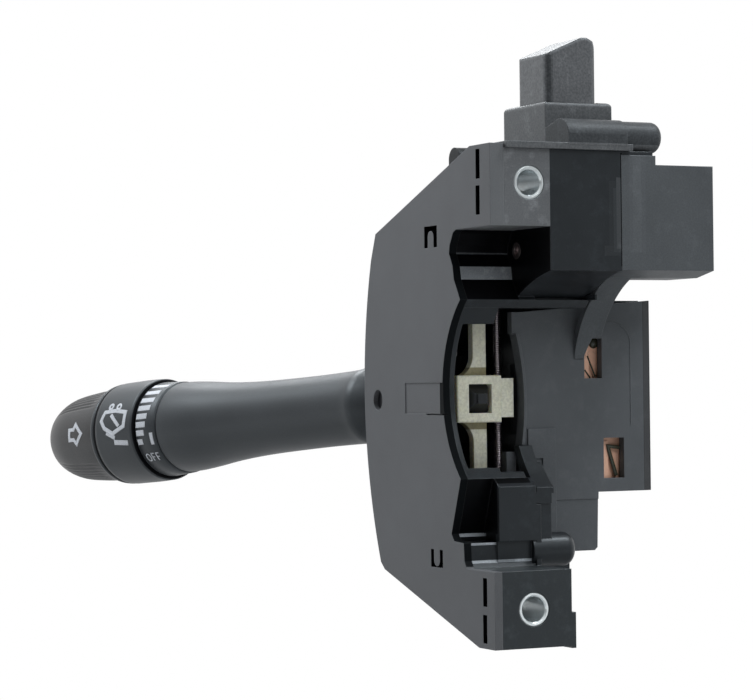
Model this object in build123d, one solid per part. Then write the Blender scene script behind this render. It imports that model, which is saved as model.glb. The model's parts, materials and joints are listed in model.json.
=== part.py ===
from build123d import *
import os
from math import cos, radians, sin, sqrt

# Combination stalk switch for the left of a steering column.
# The origin is midway between the two mounting screws, on the face that meets the column.
# +X points to the column, +Y forward to the engine, +Z up. Millimetres and degrees.

# Case: a C-shaped moulding that is closed towards the driver by a flat cover
SCREW_SPACING = 118.0        # upper to lower mounting screw
SCREW_EDGE = 10.7            # screw axis to the end of the case
BLOCK_BELOW_SCREW = 12.0     # upper screw axis to the inner end of its block
BLOCK_ABOVE_SCREW = 10.8     # lower screw axis to the inner end of its block
CASE_REACH = 80.8            # mounting face to the far side
COVER_FRONT = -12.3
COVER_THICK = 2.4
COVER_CORNER = 4.4           # thickness of the cover above the upper pocket
CORNER_WIDTH = 13.0
PAN_BACK = 12.0              # depth of the lower limb
CASE_BACK = 29.7             # depth of the rest
WALL = 2.2
TOP_FLAT = 11.8              # flat length at the upper end of the C
LOWER_FLAT = 9.4
SHOULDER = (8.6, 10.6)       # in from the far side, and below the upper screw
SIDE_TOP = (5.3, 18.5)       # where the curved side begins, measured in the same way
SIDE_LOW = (9.7, 9.8)        # where it ends, in from the far side and above the lower screw
FOOT = (12.3, 7.7)

# Channel for the column jacket
CHANNEL_R = 34.4
CHANNEL_X = 4.4
CHANNEL_Z = 1.6
SHELF_TOP = 27.2
SHELF_THICK = 2.2
FLOOR_TOP = -23.2
RIM_DEPTH = 1.5              # rim of the case in front of the window
WINDOW_TOP = 20.5
WINDOW_LOW = -20.4

# Mounting blocks, bushings and the block behind the upper pocket
UPPER_BLOCK_BACK = 6.6
UPPER_POCKET = 24.9          # depth of the two pockets from the mounting face
LOWER_POCKET = 25.4
BLOCK_EDGE_RISE = 7.6        # shelf to the lower edge of the block's face
BUSHING_OD = 9.6
BUSHING_BORE = 7.2
BUSHING_LENGTH = 14.0
SCREW_ACCESS_R = 5.4         # clear way behind each bushing
POCKET_SCREW_X = -19.7       # in the back wall of the upper pocket
POCKET_SCREW_DROP = 17.9     # below the upper mounting screw
SLOT_WIDTH = 2.4
SLOT_DEPTH = 8.0

# Turn pivot, and the stalk that crosses it
PIVOT_INSET = 9.0            # far side of the case to the pivot
PIVOT_Z = -1.05
PIVOT_R = 3.0
BEAM_PIN_R = 2.0
RUNNING_GAP = 0.05
SLIDE_GAP = 0.1
TURN_ANGLE = 9.0
STALK_Y = 5.0                # where the stalk's axis crosses the pivot's
STALK_LEAN = 20.0            # towards the driver
STALK_DROOP = 4.6
NECK_R = 7.0
HUB_R = 7.0
SHAFT_R = 11.3
SHAFT_END_R = 14.7
STALK_WALL = 2.6
SHAFT_END = 109.0            # distance along the stalk from the pivot
BAND_LENGTH = 9.0
BAND_R = 15.6
KNOB_LENGTH = 21.0
KNOB_R = 17.0
CAP_R = 15.3
CAP_LENGTH = 33.5
CAP_INSET = 1.0              # rim of the end button inside the knob's lip
PART_GAP = 0.5               # gap between turning and fixed rings
CORE_R = 6.0
CORE_BORE = 4.0
WASHER_TRAVEL = 3.0

# Lever carrier, its nose, and the cancel pawl that the nose passes through
FRAME_HALF = 12.3            # half width of the frame round the stalk's root
FRAME_WALL = 2.6
NOSE_Y = 3.6
NOSE_LOW = -4.8
NOSE_TOP = 3.3
NOSE_PROUD = 0.6
PAWL_DEPTH = 6.0
ARM_GAP = 6.0                # pawl to the carrier's arm
SPRING_BEHIND = 7.8          # cancel spring behind the pawl's face
SPRING_Y = 9.8
SPRING_R = 1.15

# Terminal board, switch base and connectors
BOARD_PROUD = 1.0            # board's face in front of the channel's deepest line
BOARD_THICK = 2.5
PAD_HIGH = 0.6               # raised pads on its face
BOARD_REACH = 26.8           # behind the case
BOARD_DROP = 5.3             # below the channel's floor
BASE_DEPTH = 28.0            # switch base behind the board
CONTACT_SEAT = 2.0
LIMB_PROUD = 13.0            # face of the lower limb in front of the board
BOSS_R = 4.9                 # round boss that lies across the limb's lower end
BOSS_END = 23.4
UPPER_PLUG_REACH = 30.4      # behind the case
LOWER_PLUG_REACH = 13.8
UPPER_PLUG_WIDTH = 24.0
UPPER_PLUG_DROP = 2.8        # below the channel's highest line
UPPER_PLUG_RISE = 5.8        # above the upper screw
LOWER_PLUG_WIDTH = 24.0
LOWER_PLUG_HEIGHT = 16.5
UPPER_SOCKET = 18.0
LOWER_SOCKET = 9.5
PLUG_BEVEL = 1.8             # of the upper connector's lower edges
BLADE_THICK = 0.8
BLADE_WIDTH = 2.8
FINGER_R = 1.6
PLUNGER_Y = 15.5
PLUNGER_R = 2.6
TRACK_THICK = 3.4            # detent track at its thinnest
TRACK_HALF = 10.0            # half height of the track
PLUNGER_TRAVEL = 1.0

# Hazard switch on top
FLANGE_SINK = 1.2            # below the top of the case
FLANGE_THICK = 1.8
FLANGE_END = 32.8
SKIRT_X = (-35.9, -11.8)
SKIRT_Y = (12.0, 33.8)
SKIRT_HEIGHT = 14.7
BUTTON_X = (-29.6, -12.5)
BUTTON_Y = (13.0, 29.5)
BUTTON_PROUD = 18.4
BUTTON_ROUND = 2.0
HAZARD_TRAVEL = 4.0
BAR_END = 31.0
BAR_HEIGHT = 8.9
HORN_R = 4.5
HORN_END = 44.0

# Places worked out from the sizes above
COVER_BACK = COVER_FRONT + COVER_THICK
CORNER_BACK = COVER_FRONT + COVER_CORNER
UPPER_SCREW_Z = SCREW_SPACING / 2
LOWER_SCREW_Z = -SCREW_SPACING / 2
TOP_Z = UPPER_SCREW_Z + SCREW_EDGE
BOTTOM_Z = LOWER_SCREW_Z - SCREW_EDGE
UPPER_BLOCK_LOW = UPPER_SCREW_Z - BLOCK_BELOW_SCREW
LOWER_BLOCK_TOP = LOWER_SCREW_Z + BLOCK_ABOVE_SCREW
SHELF_LOW = SHELF_TOP - SHELF_THICK
PIVOT_X = -CASE_REACH + PIVOT_INSET
PAWL_FACE = CHANNEL_X - CHANNEL_R
PAWL_BACK = PAWL_FACE - PAWL_DEPTH
ARM_END = PAWL_BACK - ARM_GAP
BOARD_FACE = PAWL_FACE + BOARD_PROUD
BOARD_BACK = BOARD_FACE - BOARD_THICK
BOARD_END = CASE_BACK + BOARD_REACH
BOARD_TOP = SHELF_TOP + 0.2
BOARD_LOW = FLOOR_TOP - BOARD_DROP
BLOCK_LEFT = BOARD_FACE + 2.0
LIMB_FACE = BOARD_FACE + LIMB_PROUD
BASE_FLOOR = BOARD_BACK - BASE_DEPTH
FINGER_X = (BASE_FLOOR + BOARD_BACK) / 2
FINGER_REACH = FINGER_X - PIVOT_X
SWEEP_R = BOARD_BACK - TRACK_THICK - PIVOT_X
PLUNGER_REACH = SWEEP_R - SLIDE_GAP
SPRING_X = PAWL_FACE - SPRING_BEHIND
UPPER_PLUG_LOW = CHANNEL_Z + CHANNEL_R - UPPER_PLUG_DROP
UPPER_PLUG_TOP = UPPER_SCREW_Z + UPPER_PLUG_RISE
UPPER_PLUG_END = CASE_BACK + UPPER_PLUG_REACH
LOWER_PLUG_END = CASE_BACK + LOWER_PLUG_REACH
LOWER_PLUG_TOP = BOARD_LOW - 1.0
LOWER_PLUG_LEFT = BASE_FLOOR - 6.5
FLANGE_LOW = TOP_Z - FLANGE_SINK
FLANGE_TOP = FLANGE_LOW + FLANGE_THICK
SKIRT_TOP = FLANGE_LOW + SKIRT_HEIGHT
BAND_END = SHAFT_END + BAND_LENGTH
KNOB_START = BAND_END + PART_GAP
KNOB_END = KNOB_START + KNOB_LENGTH
CAP_START = KNOB_END - CAP_INSET
TIP = CAP_START + CAP_LENGTH

# Windows of the board: first Y, last Y, lowest Z, highest Z
TURN_WINDOW = (CASE_BACK + 4.2, CASE_BACK + 10.1, CHANNEL_Z + 3.1, CHANNEL_Z + 14.7)
BEAM_WINDOW = (CASE_BACK + 10.4, CASE_BACK + 17.3, FLOOR_TOP - 1.4, FLOOR_TOP + 10.4)

lean = radians(STALK_LEAN)
droop = radians(STALK_DROOP)
STALK_AXIS = Vector(-cos(lean) * cos(droop), -sin(lean) * cos(droop), -sin(droop))
STALK = Plane(origin=(PIVOT_X, STALK_Y, PIVOT_Z), x_dir=(sin(lean), -cos(lean), 0), z_dir=STALK_AXIS)


# Helpers

def along_y(face, y0, y1):
    """A face drawn in X and Z, carried from y0 to y1."""
    return extrude(Plane.XZ.offset(-y0) * face, amount=y0 - y1)


def along_x(face, x0, x1):
    """A face drawn in Y and Z, carried from x0 to x1."""
    return extrude(Plane.YZ.offset(x0) * face, amount=x1 - x0)


def block(x0, x1, y0, y1, z0, z1):
    return Pos((x0 + x1) / 2, (y0 + y1) / 2, (z0 + z1) / 2) * Box(x1 - x0, y1 - y0, z1 - z0)


def polygon(*points):
    return Polygon(*points, align=None)


def rod_x(x0, x1, y, z, r):
    return Pos((x0 + x1) / 2, y, z) * Rot(0, 90, 0) * Cylinder(r, x1 - x0)


def rod_y(y0, y1, x, z, r):
    return Pos(x, (y0 + y1) / 2, z) * Rot(90, 0, 0) * Cylinder(r, y1 - y0)


def rod_z(z0, z1, x, y, r):
    return Pos(x, y, (z0 + z1) / 2) * Cylinder(r, z1 - z0)


def turned(*profile):
    """A closed profile of (radius, distance) points, turned about the stalk's axis."""
    face = Plane.XZ * polygon(*profile)
    return STALK * revolve(face, Axis.Z)


def channel_x(z):
    """X of the channel's wall at height z."""
    return CHANNEL_X - sqrt(CHANNEL_R ** 2 - (z - CHANNEL_Z) ** 2)


def shoulder():
    return (SHOULDER[0] - CASE_REACH, UPPER_SCREW_Z - SHOULDER[1])


def slope_z(x):
    """Height of the upper sloping edge of the case at x."""
    x_end, z_end = shoulder()
    return TOP_Z + (x + TOP_FLAT) * (TOP_Z - z_end) / (-TOP_FLAT - x_end)


# Case

def outer_line():
    """The outside of the C, from its upper end round the far side to its lower end."""
    side_top = (SIDE_TOP[0] - CASE_REACH, UPPER_SCREW_Z - SIDE_TOP[1])
    side_low = (SIDE_LOW[0] - CASE_REACH, LOWER_SCREW_Z + SIDE_LOW[1])
    foot = (FOOT[0] - CASE_REACH, LOWER_SCREW_Z + FOOT[1])
    middle = (-CASE_REACH, (side_top[1] + side_low[1]) / 2 + 2.4)
    upper = Polyline((0, TOP_Z), (-TOP_FLAT, TOP_Z), shoulder(), side_top)
    side = ThreePointArc(side_top, middle, side_low)
    lower = Polyline(side_low, foot, (-LOWER_FLAT, BOTTOM_Z), (0, BOTTOM_Z), (0, LOWER_BLOCK_TOP))
    return upper + side + lower


def pocket_walls():
    """The two pockets beside the channel, as points from its ends to the mounting blocks."""
    height = UPPER_BLOCK_LOW - SHELF_TOP
    deep = -UPPER_POCKET
    upper = [(channel_x(SHELF_TOP), SHELF_TOP), (deep + 2.8, SHELF_TOP + 0.29 * height),
             (deep + 2.1, SHELF_TOP + 0.48 * height), (deep, SHELF_TOP + 0.67 * height),
             (deep + 0.5, SHELF_TOP + 0.79 * height), (deep + 2.6, UPPER_BLOCK_LOW - 0.8),
             (deep + 4.4, UPPER_BLOCK_LOW), (0, UPPER_BLOCK_LOW)]
    deep = -LOWER_POCKET
    lower = [(0, LOWER_BLOCK_TOP), (deep + 8.9, LOWER_BLOCK_TOP), (deep + 7.7, LOWER_BLOCK_TOP + 2.0),
             (deep + 7.3, LOWER_BLOCK_TOP + 7.0), (deep + 1.6, LOWER_BLOCK_TOP + 7.4),
             (deep, LOWER_BLOCK_TOP + 9.3), (channel_x(FLOOR_TOP), FLOOR_TOP)]
    return upper, lower


def case_outline():
    upper, lower = pocket_walls()
    channel = ThreePointArc(lower[-1], (CHANNEL_X - CHANNEL_R, CHANNEL_Z), upper[0])
    inner = Polyline(*lower) + channel + Polyline(*upper) + Line(upper[-1], (0, TOP_Z))
    return make_face(outer_line() + inner)


def smooth_block_face():
    """Section of the block behind the upper pocket, with a groove above the shelf's rounded edge."""
    start = (0, SHELF_TOP + BLOCK_EDGE_RISE)
    end = (channel_x(SHELF_TOP) - 1.4, SHELF_TOP + 0.6)
    middle = ((start[0] + end[0]) / 2, (start[1] + end[1]) / 2 + 1.0)
    rest = Polyline(start, (0, FLANGE_LOW), (-TOP_FLAT, FLANGE_LOW), (BLOCK_LEFT, slope_z(BLOCK_LEFT)),
                    (BLOCK_LEFT, SHELF_LOW), (channel_x(SHELF_LOW), SHELF_LOW),
                    (channel_x(SHELF_TOP), SHELF_TOP), (end[0] - 1.0, SHELF_TOP),
                    (end[0] - 1.0, end[1]), end)
    return make_face(rest + ThreePointArc(end, middle, start))


def housing():
    """The case as a shell behind the cover, with solid ends for the bushings."""
    outline = case_outline()
    inside = offset(outline, -WALL, kind=Kind.INTERSECTION)
    blocks = [(UPPER_BLOCK_LOW - WALL, TOP_Z), (BOTTOM_Z, LOWER_BLOCK_TOP + WALL)]
    for low, high in blocks:
        inside -= polygon((-BUSHING_LENGTH - 1, low), (2, low), (2, high), (-BUSHING_LENGTH - 1, high))
    side = BOARD_BACK - 0.2
    column_side = polygon((side, BOTTOM_Z - 1), (5, BOTTOM_Z - 1), (5, TOP_Z + 1), (BLOCK_LEFT, TOP_Z + 1),
                          (BLOCK_LEFT, BOARD_TOP + 0.2), (side, BOARD_TOP + 0.2))
    deep = outline - column_side
    deep_inside = offset(deep, -WALL, kind=Kind.INTERSECTION)

    case = along_y(outline, COVER_BACK, PAN_BACK)
    case += along_y(deep, PAN_BACK, CASE_BACK)
    case -= along_y(inside, COVER_BACK - 1, PAN_BACK - WALL)
    case -= along_y(deep_inside, COVER_BACK - 1, CASE_BACK - WALL)
    case += along_y(smooth_block_face(), UPPER_BLOCK_BACK, CASE_BACK)
    case += screw_tunnels(WALL - 0.4)
    case += rod_y(STALK_Y + FRAME_HALF + WALL, CASE_BACK - 1, PIVOT_X, PIVOT_Z, PIVOT_R + 3)
    case += block(BLOCK_LEFT, channel_x(SHELF_LOW) + 0.2, COVER_BACK, PAN_BACK, SHELF_LOW, SHELF_TOP)
    case = open_window(case) + lower_limb() + harness_lug()
    return drill(case)


def open_window(case):
    """Cuts the cancel mechanism's window, the hazard switch's room and the stalk's way."""
    far = PIVOT_X + FRAME_HALF
    case -= block(far, 5, COVER_BACK + RIM_DEPTH, PAN_BACK + 1, WINDOW_LOW, WINDOW_TOP)
    case -= block(far, 5, 1.5, PAN_BACK + 1, FLOOR_TOP + 1.6, SHELF_LOW)
    case -= block(far, 5, PAN_BACK - WALL - 1, CASE_BACK - WALL, BOARD_LOW - 0.2, SHELF_LOW)
    room_low = SHELF_TOP + BLOCK_EDGE_RISE + 4
    room_left = BLOCK_LEFT + WALL
    case -= block(room_left, -WALL, UPPER_BLOCK_BACK + WALL, CASE_BACK + 1, room_low, FLANGE_LOW - WALL)
    case -= block(room_left, -TOP_FLAT - 1.2, SKIRT_Y[0] + 2, CASE_BACK - 3, room_low + 6, TOP_Z + 10)
    case -= block(-CASE_REACH - 2, -CASE_REACH + 8, COVER_BACK - 1, STALK_Y + FRAME_HALF + 0.6,
                  PIVOT_Z - FRAME_HALF - 2.2, PIVOT_Z + FRAME_HALF + 2.2)
    # Seats of the flange and of the cover's thick corner
    case -= block(-TOP_FLAT - 2.2, 2, COVER_BACK, CASE_BACK + 1, FLANGE_LOW, TOP_Z + 1)
    case -= block(-CORNER_WIDTH, 1, COVER_BACK - 1, CORNER_BACK, UPPER_BLOCK_LOW - 1, TOP_Z + 1)
    return case - finger_slot(CASE_BACK - WALL - 1)


def drill(case):
    """Bores for the bushings and what lies behind them, the pivot, the screw and the cover's slots."""
    case -= screw_tunnels(0)
    for z in (UPPER_SCREW_Z, LOWER_SCREW_Z):
        case -= rod_x(-BUSHING_LENGTH - 1, 2, 0, z, BUSHING_OD / 2)
    case -= rod_y(STALK_Y + 10, CASE_BACK - 3, PIVOT_X, PIVOT_Z, PIVOT_R + RUNNING_GAP)
    screw_z = UPPER_SCREW_Z - POCKET_SCREW_DROP
    case -= rod_y(UPPER_BLOCK_BACK - 1, UPPER_BLOCK_BACK + 2, POCKET_SCREW_X, screw_z, 2.4)
    for x, z, height in cover_slots():
        case -= block(x - SLOT_WIDTH / 2, x + SLOT_WIDTH / 2, COVER_BACK - 1, COVER_FRONT + SLOT_DEPTH,
                      z - height / 2, z + height / 2)
    return case


def harness_lug():
    """Small round-topped lug on the upper slope, just behind the cover."""
    x, r = -TOP_FLAT - 13.7, 3.3
    z = slope_z(x) + 2.3
    lug = rod_y(COVER_BACK, COVER_BACK + 5, x, z, r)
    return lug + block(x - r, x + r, COVER_BACK, COVER_BACK + 5, slope_z(x - r) - 1, z)


def screw_tunnels(skin):
    """The clear way behind each bushing, out through the sloping edge."""
    r = SCREW_ACCESS_R + skin
    whole = make_face(outer_line() + Line((0, LOWER_BLOCK_TOP), (0, TOP_Z)))
    far = -CASE_REACH + 20
    tunnels = rod_x(far, -BUSHING_LENGTH, 0, UPPER_SCREW_Z, r)
    tunnels += rod_x(far, -BUSHING_LENGTH, 0, LOWER_SCREW_Z, r)
    return tunnels & along_y(whole, -20, 20) if skin else tunnels


def lower_limb():
    """Stepped blocks, ledges and a boss between the lower pocket and the terminal board."""
    back = BLOCK_LEFT
    low = LOWER_BLOCK_TOP + 7.2
    tall = polygon((back, low), (LIMB_FACE, low), (LIMB_FACE, FLOOR_TOP - 2.4),
                   (LIMB_FACE - 3, FLOOR_TOP - 0.1), (back, FLOOR_TOP - 0.1))
    limb = along_y(tall, -1.9, 10.0)
    limb += block(back, LIMB_FACE, 10.0, 11.6, LOWER_BLOCK_TOP, FLOOR_TOP - 7.6)
    limb += block(back, LIMB_FACE - 0.7, 11.6, 15.3, LOWER_BLOCK_TOP + 3, FLOOR_TOP - 4.4)
    limb += block(back, LIMB_FACE, 10.0, 15.1, FLOOR_TOP - 7.4, FLOOR_TOP - 4.4)
    limb += channel_arc(10.2, 14.5, FLOOR_TOP - 4.6, FLOOR_TOP + 8.8, 3.2, LIMB_FACE)
    limb += channel_arc(14.5, 15.8, FLOOR_TOP - 4.6, FLOOR_TOP + 4.0, 3.2, LIMB_FACE)
    limb += block(back, LIMB_FACE - 1.2, -1.9, PAN_BACK, LOWER_BLOCK_TOP - 1, low + 0.4)
    limb += block(-BUSHING_LENGTH, 0, PAN_BACK, PAN_BACK + 1.3, BOTTOM_Z - 0.6, LOWER_SCREW_Z - 1.3)
    boss = rod_y(9.0, BOSS_END, LIMB_FACE - BOSS_R + 0.6, LOWER_BLOCK_TOP + 4.2, BOSS_R)
    limb += fillet(boss.edges().filter_by(GeomType.CIRCLE).group_by(Axis.Y)[-1], 0.6 * BOSS_R)
    return limb + spring_ledge(FLOOR_TOP - SHELF_THICK, FLOOR_TOP) + spring_ledge(SHELF_LOW, SHELF_TOP)


def spring_ledge(low, high):
    """A ledge across the case for one end of the cancel spring."""
    return block(SPRING_X - 2, BLOCK_LEFT + 1, SPRING_Y - 2.2, SPRING_Y + 1.9, low, high)


def channel_arc(y0, y1, low, high, thick, x_end=0):
    """A wall that follows the channel between two heights, back to the board."""
    ring = Pos(CHANNEL_X, CHANNEL_Z) * (Circle(CHANNEL_R + thick) - Circle(CHANNEL_R))
    start = BOARD_FACE + SLIDE_GAP
    return along_y(ring & polygon((start, low), (x_end, low), (x_end, high), (start, high)), y0, y1)


def cover_slots():
    """Centres of the four slots near the column edge, and the height of each."""
    return [(-7.0, UPPER_SCREW_Z + 5.4, 8.2), (-7.2, UPPER_SCREW_Z - 4.6, 8.1),
            (-5.6, LOWER_SCREW_Z + 4.9, 7.9), (-5.8, LOWER_SCREW_Z - 5.3, 7.9)]


def snap_window(x0, x1, z0, z1, tongue_up):
    """A window with a round-ended tongue standing in it."""
    middle = (x0 + x1) / 2
    root, end = (z0, z0 + 3.0) if tongue_up else (z1, z1 - 3.0)
    opening = polygon((x0, z0), (x1, z0), (x1, z1), (x0, z1))
    low, high = min(root, end), max(root, end)
    tongue = polygon((middle - 1.8, low), (middle + 1.8, low), (middle + 1.8, high), (middle - 1.8, high))
    tongue += Pos(middle, end) * Circle(1.8)
    return opening - tongue


def front_cover():
    cover = along_y(case_outline(), COVER_FRONT, COVER_BACK)
    cover += block(-CORNER_WIDTH + PART_GAP, 0, COVER_BACK, CORNER_BACK, UPPER_BLOCK_LOW, TOP_Z)
    cover += rod_y(COVER_BACK, STALK_Y - FRAME_HALF - 0.2, PIVOT_X, PIVOT_Z, PIVOT_R + WALL)
    cover -= rod_y(COVER_FRONT - 1, COVER_BACK + 4, PIVOT_X, PIVOT_Z, PIVOT_R + RUNNING_GAP)
    for x, z, height in cover_slots():
        cover -= block(x - SLOT_WIDTH / 2, x + SLOT_WIDTH / 2, COVER_FRONT - 1, COVER_BACK + 5,
                       z - height / 2, z + height / 2)
    upper = snap_window(-40.1, -32.1, UPPER_SCREW_Z - 16.4, UPPER_SCREW_Z - 10.2, True)
    lower = snap_window(-38.2, -30.8, LOWER_SCREW_Z + 10.2, LOWER_SCREW_Z + 15.3, False)
    cover -= along_y(upper + lower, COVER_FRONT - 1, COVER_BACK + 1)
    # Shallow panel beside the window, with a deeper line along its lower edge
    left = PAWL_FACE - 23.6
    cover -= block(left, -20, COVER_FRONT - 1, COVER_FRONT + 0.3, PIVOT_Z - 3.9, PIVOT_Z + 5.0)
    return cover - block(left + 13.6, -20, COVER_FRONT - 1, COVER_FRONT + 1.0, PIVOT_Z - 4.3, PIVOT_Z - 3.9)


def bushing(z):
    tube = rod_x(-BUSHING_LENGTH, 0, 0, z, BUSHING_OD / 2)
    tube -= rod_x(-BUSHING_LENGTH - 1, 1, 0, z, BUSHING_BORE / 2)
    return chamfer(tube.edges().filter_by(GeomType.CIRCLE).group_by(Axis.X)[-1], 0.35)


# Terminal board, switch base and contacts

def board_face():
    """Outline of the board, with its inner edge bowed along the window of the cancel mechanism."""
    arc_top, arc_low = (10.5, CHANNEL_Z + 16.1), (12.0, CHANNEL_Z - 15.9)
    side = BOARD_TOP - 3.4
    tongue = LOWER_BLOCK_TOP + 2.7
    left = Polyline(arc_low, (12.0, BOARD_LOW + 0.1), (16.0, BOARD_LOW + 0.1), (16.0, tongue),
                    (36.9, tongue), (37.8, tongue + 0.9), (38.2, BOARD_LOW), (BOARD_END, BOARD_LOW),
                    (BOARD_END, BOARD_TOP), (12.6, side), (9.9, side), (9.9, arc_top[1]), arc_top)
    return make_face(left + ThreePointArc(arc_top, (12.9, CHANNEL_Z - 1.1), arc_low))


def terminal_board():
    board = along_x(board_face(), BOARD_BACK, BOARD_FACE)
    top, low = CHANNEL_Z + 16.1, CHANNEL_Z - 15.9
    middle = CHANNEL_Z - 1.1
    rib = ThreePointArc((11.3, top), (13.7, middle), (12.8, low)) + Line((12.8, low), (12.0, low))
    rib += ThreePointArc((12.0, low), (12.9, middle), (10.5, top)) + Line((10.5, top), (11.3, top))
    board += along_x(make_face(rib), BOARD_FACE, BOARD_FACE + 1.5)
    for y0, y1, z0, z1 in (TURN_WINDOW, BEAM_WINDOW):
        board -= block(BOARD_BACK - 1, BOARD_FACE + 1, y0, y1, z0, z1)
    pad_low, pad_top = FLOOR_TOP + 5.0, FLOOR_TOP + 13.5
    board += block(BOARD_FACE, BOARD_FACE + PAD_HIGH, 14.6, 23.7, pad_low, pad_top)
    board += block(BOARD_FACE, BOARD_FACE + PAD_HIGH, 19.4, 23.7, LOWER_BLOCK_TOP + 4.8, pad_low)
    # The far edge is bevelled, and the tongue below stands back a little
    edge = Plane.XY * polygon((BOARD_FACE - 0.7, BOARD_END + 1), (BOARD_FACE - 0.7, BOARD_END - 0.4),
                              (BOARD_FACE, BOARD_END - 2.5), (BOARD_FACE + 1, BOARD_END - 2.5),
                              (BOARD_FACE + 1, BOARD_END + 1))
    board -= Pos(0, 0, BOARD_LOW - 1) * extrude(edge, amount=BOARD_TOP - BOARD_LOW + 2)
    return board - block(BOARD_FACE - 0.3, BOARD_FACE + 0.1, 23.7, 40, LOWER_BLOCK_TOP, BOARD_LOW - 2)


def switch_base():
    start = CASE_BACK
    end = BOARD_END - 2.6
    base = block(BASE_FLOOR, BOARD_BACK, start, end, BOARD_LOW, BOARD_TOP)
    base -= block(BASE_FLOOR + WALL, BOARD_BACK + 1, start + WALL, end - WALL,
                  BOARD_LOW + WALL, BOARD_TOP - WALL)
    # Seats of the two contacts
    for y0, y1, z0, z1 in (TURN_WINDOW, BEAM_WINDOW):
        base += block(BASE_FLOOR + WALL, BOARD_BACK - CONTACT_SEAT, y0 + 1, y1 - 1, z0 + 1, z1 - 1)
    return base - finger_slot(start - 1)


def finger_slot(y):
    """Slot through a back wall for the finger that drives the turn slider."""
    half = FINGER_REACH * sin(radians(TURN_ANGLE)) + FINGER_R + 1.4
    return block(FINGER_X - 4, FINGER_X + 4, y, y + WALL + 2, PIVOT_Z - half, PIVOT_Z + half)


def contact(window):
    """A copper strip on its seat, with a raised contact finger across the window."""
    y0, y1, z0, z1 = window
    x = BOARD_BACK - CONTACT_SEAT
    strip = block(x, x + 0.8, y0 - 0.9, y1 + 0.6, z0 - 1.2, z1 + 1.2)
    return strip + block(x + 0.8, x + 1.6, y0 + 1.4, y0 + 3.2, z0 - 0.5, z1 - 1)


def plug_shell(x0, x1, y1, z0, z1, depth, low=WALL):
    """A connector shroud that opens forward."""
    shell = block(x0, x1, CASE_BACK, y1, z0, z1)
    return shell - block(x0 + WALL, x1 - WALL, y1 - depth, y1 + 1, z0 + low, z1 - WALL)


def upper_connector():
    """Shroud with bevelled lower edges, and a foot that follows the channel down to the board."""
    low, top, end = UPPER_PLUG_LOW, UPPER_PLUG_TOP, UPPER_PLUG_END
    left = -UPPER_PLUG_WIDTH
    plug = plug_shell(left, 0, end, low, top, UPPER_SOCKET, WALL + PLUG_BEVEL)
    plug += block(left, 0, CASE_BACK, CASE_BACK + 11.3, top, top + 2.6)
    bevel = polygon((end, low - 1), (end, low + PLUG_BEVEL), (end - 0.6, low), (end - 0.6, low - 1))
    front = polygon((0, low - 1), (0, low + PLUG_BEVEL), (-8, low), (-8, low - 1))
    plug -= along_x(bevel, left - 1, 1)
    plug -= along_y(front, CASE_BACK - 1, end + 1)
    start = CASE_BACK + 0.7
    foot_low = CHANNEL_Z + 7.8
    foot = channel_arc(start, start + 7.9, foot_low, low + 3.0, WALL)
    return plug + foot


def lower_connector():
    low = LOWER_PLUG_TOP - LOWER_PLUG_HEIGHT
    return plug_shell(LOWER_PLUG_LEFT, LOWER_PLUG_LEFT + LOWER_PLUG_WIDTH, LOWER_PLUG_END, low,
                      LOWER_PLUG_TOP, LOWER_SOCKET)


def blades(rows, columns, y0, y1, x_start, z_start, pitch_x, pitch_z):
    """Terminal blades in a grid, standing on the floor of a socket."""
    made = []
    for i in range(rows):
        for j in range(columns):
            x, z = x_start + i * pitch_x, z_start + j * pitch_z
            made.append(block(x - BLADE_THICK / 2, x + BLADE_THICK / 2, y0, y1,
                              z - BLADE_WIDTH / 2, z + BLADE_WIDTH / 2))
    return Compound(children=made)


def upper_terminals():
    middle = (UPPER_PLUG_LOW + PLUG_BEVEL + UPPER_PLUG_TOP) / 2
    pitch = (UPPER_PLUG_TOP - UPPER_PLUG_LOW - PLUG_BEVEL - 2 * WALL) / 4
    floor = UPPER_PLUG_END - UPPER_SOCKET
    return blades(2, 4, floor, floor + 9, -UPPER_PLUG_WIDTH / 2 - 4, middle - 1.5 * pitch, 8, pitch)


def lower_terminals():
    middle = LOWER_PLUG_LEFT + LOWER_PLUG_WIDTH / 2
    floor = LOWER_PLUG_END - LOWER_SOCKET
    return blades(3, 2, floor, floor + 6, middle - 6, LOWER_PLUG_TOP - LOWER_PLUG_HEIGHT / 2 - 3, 6, 6)


# Turn mechanism

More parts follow.
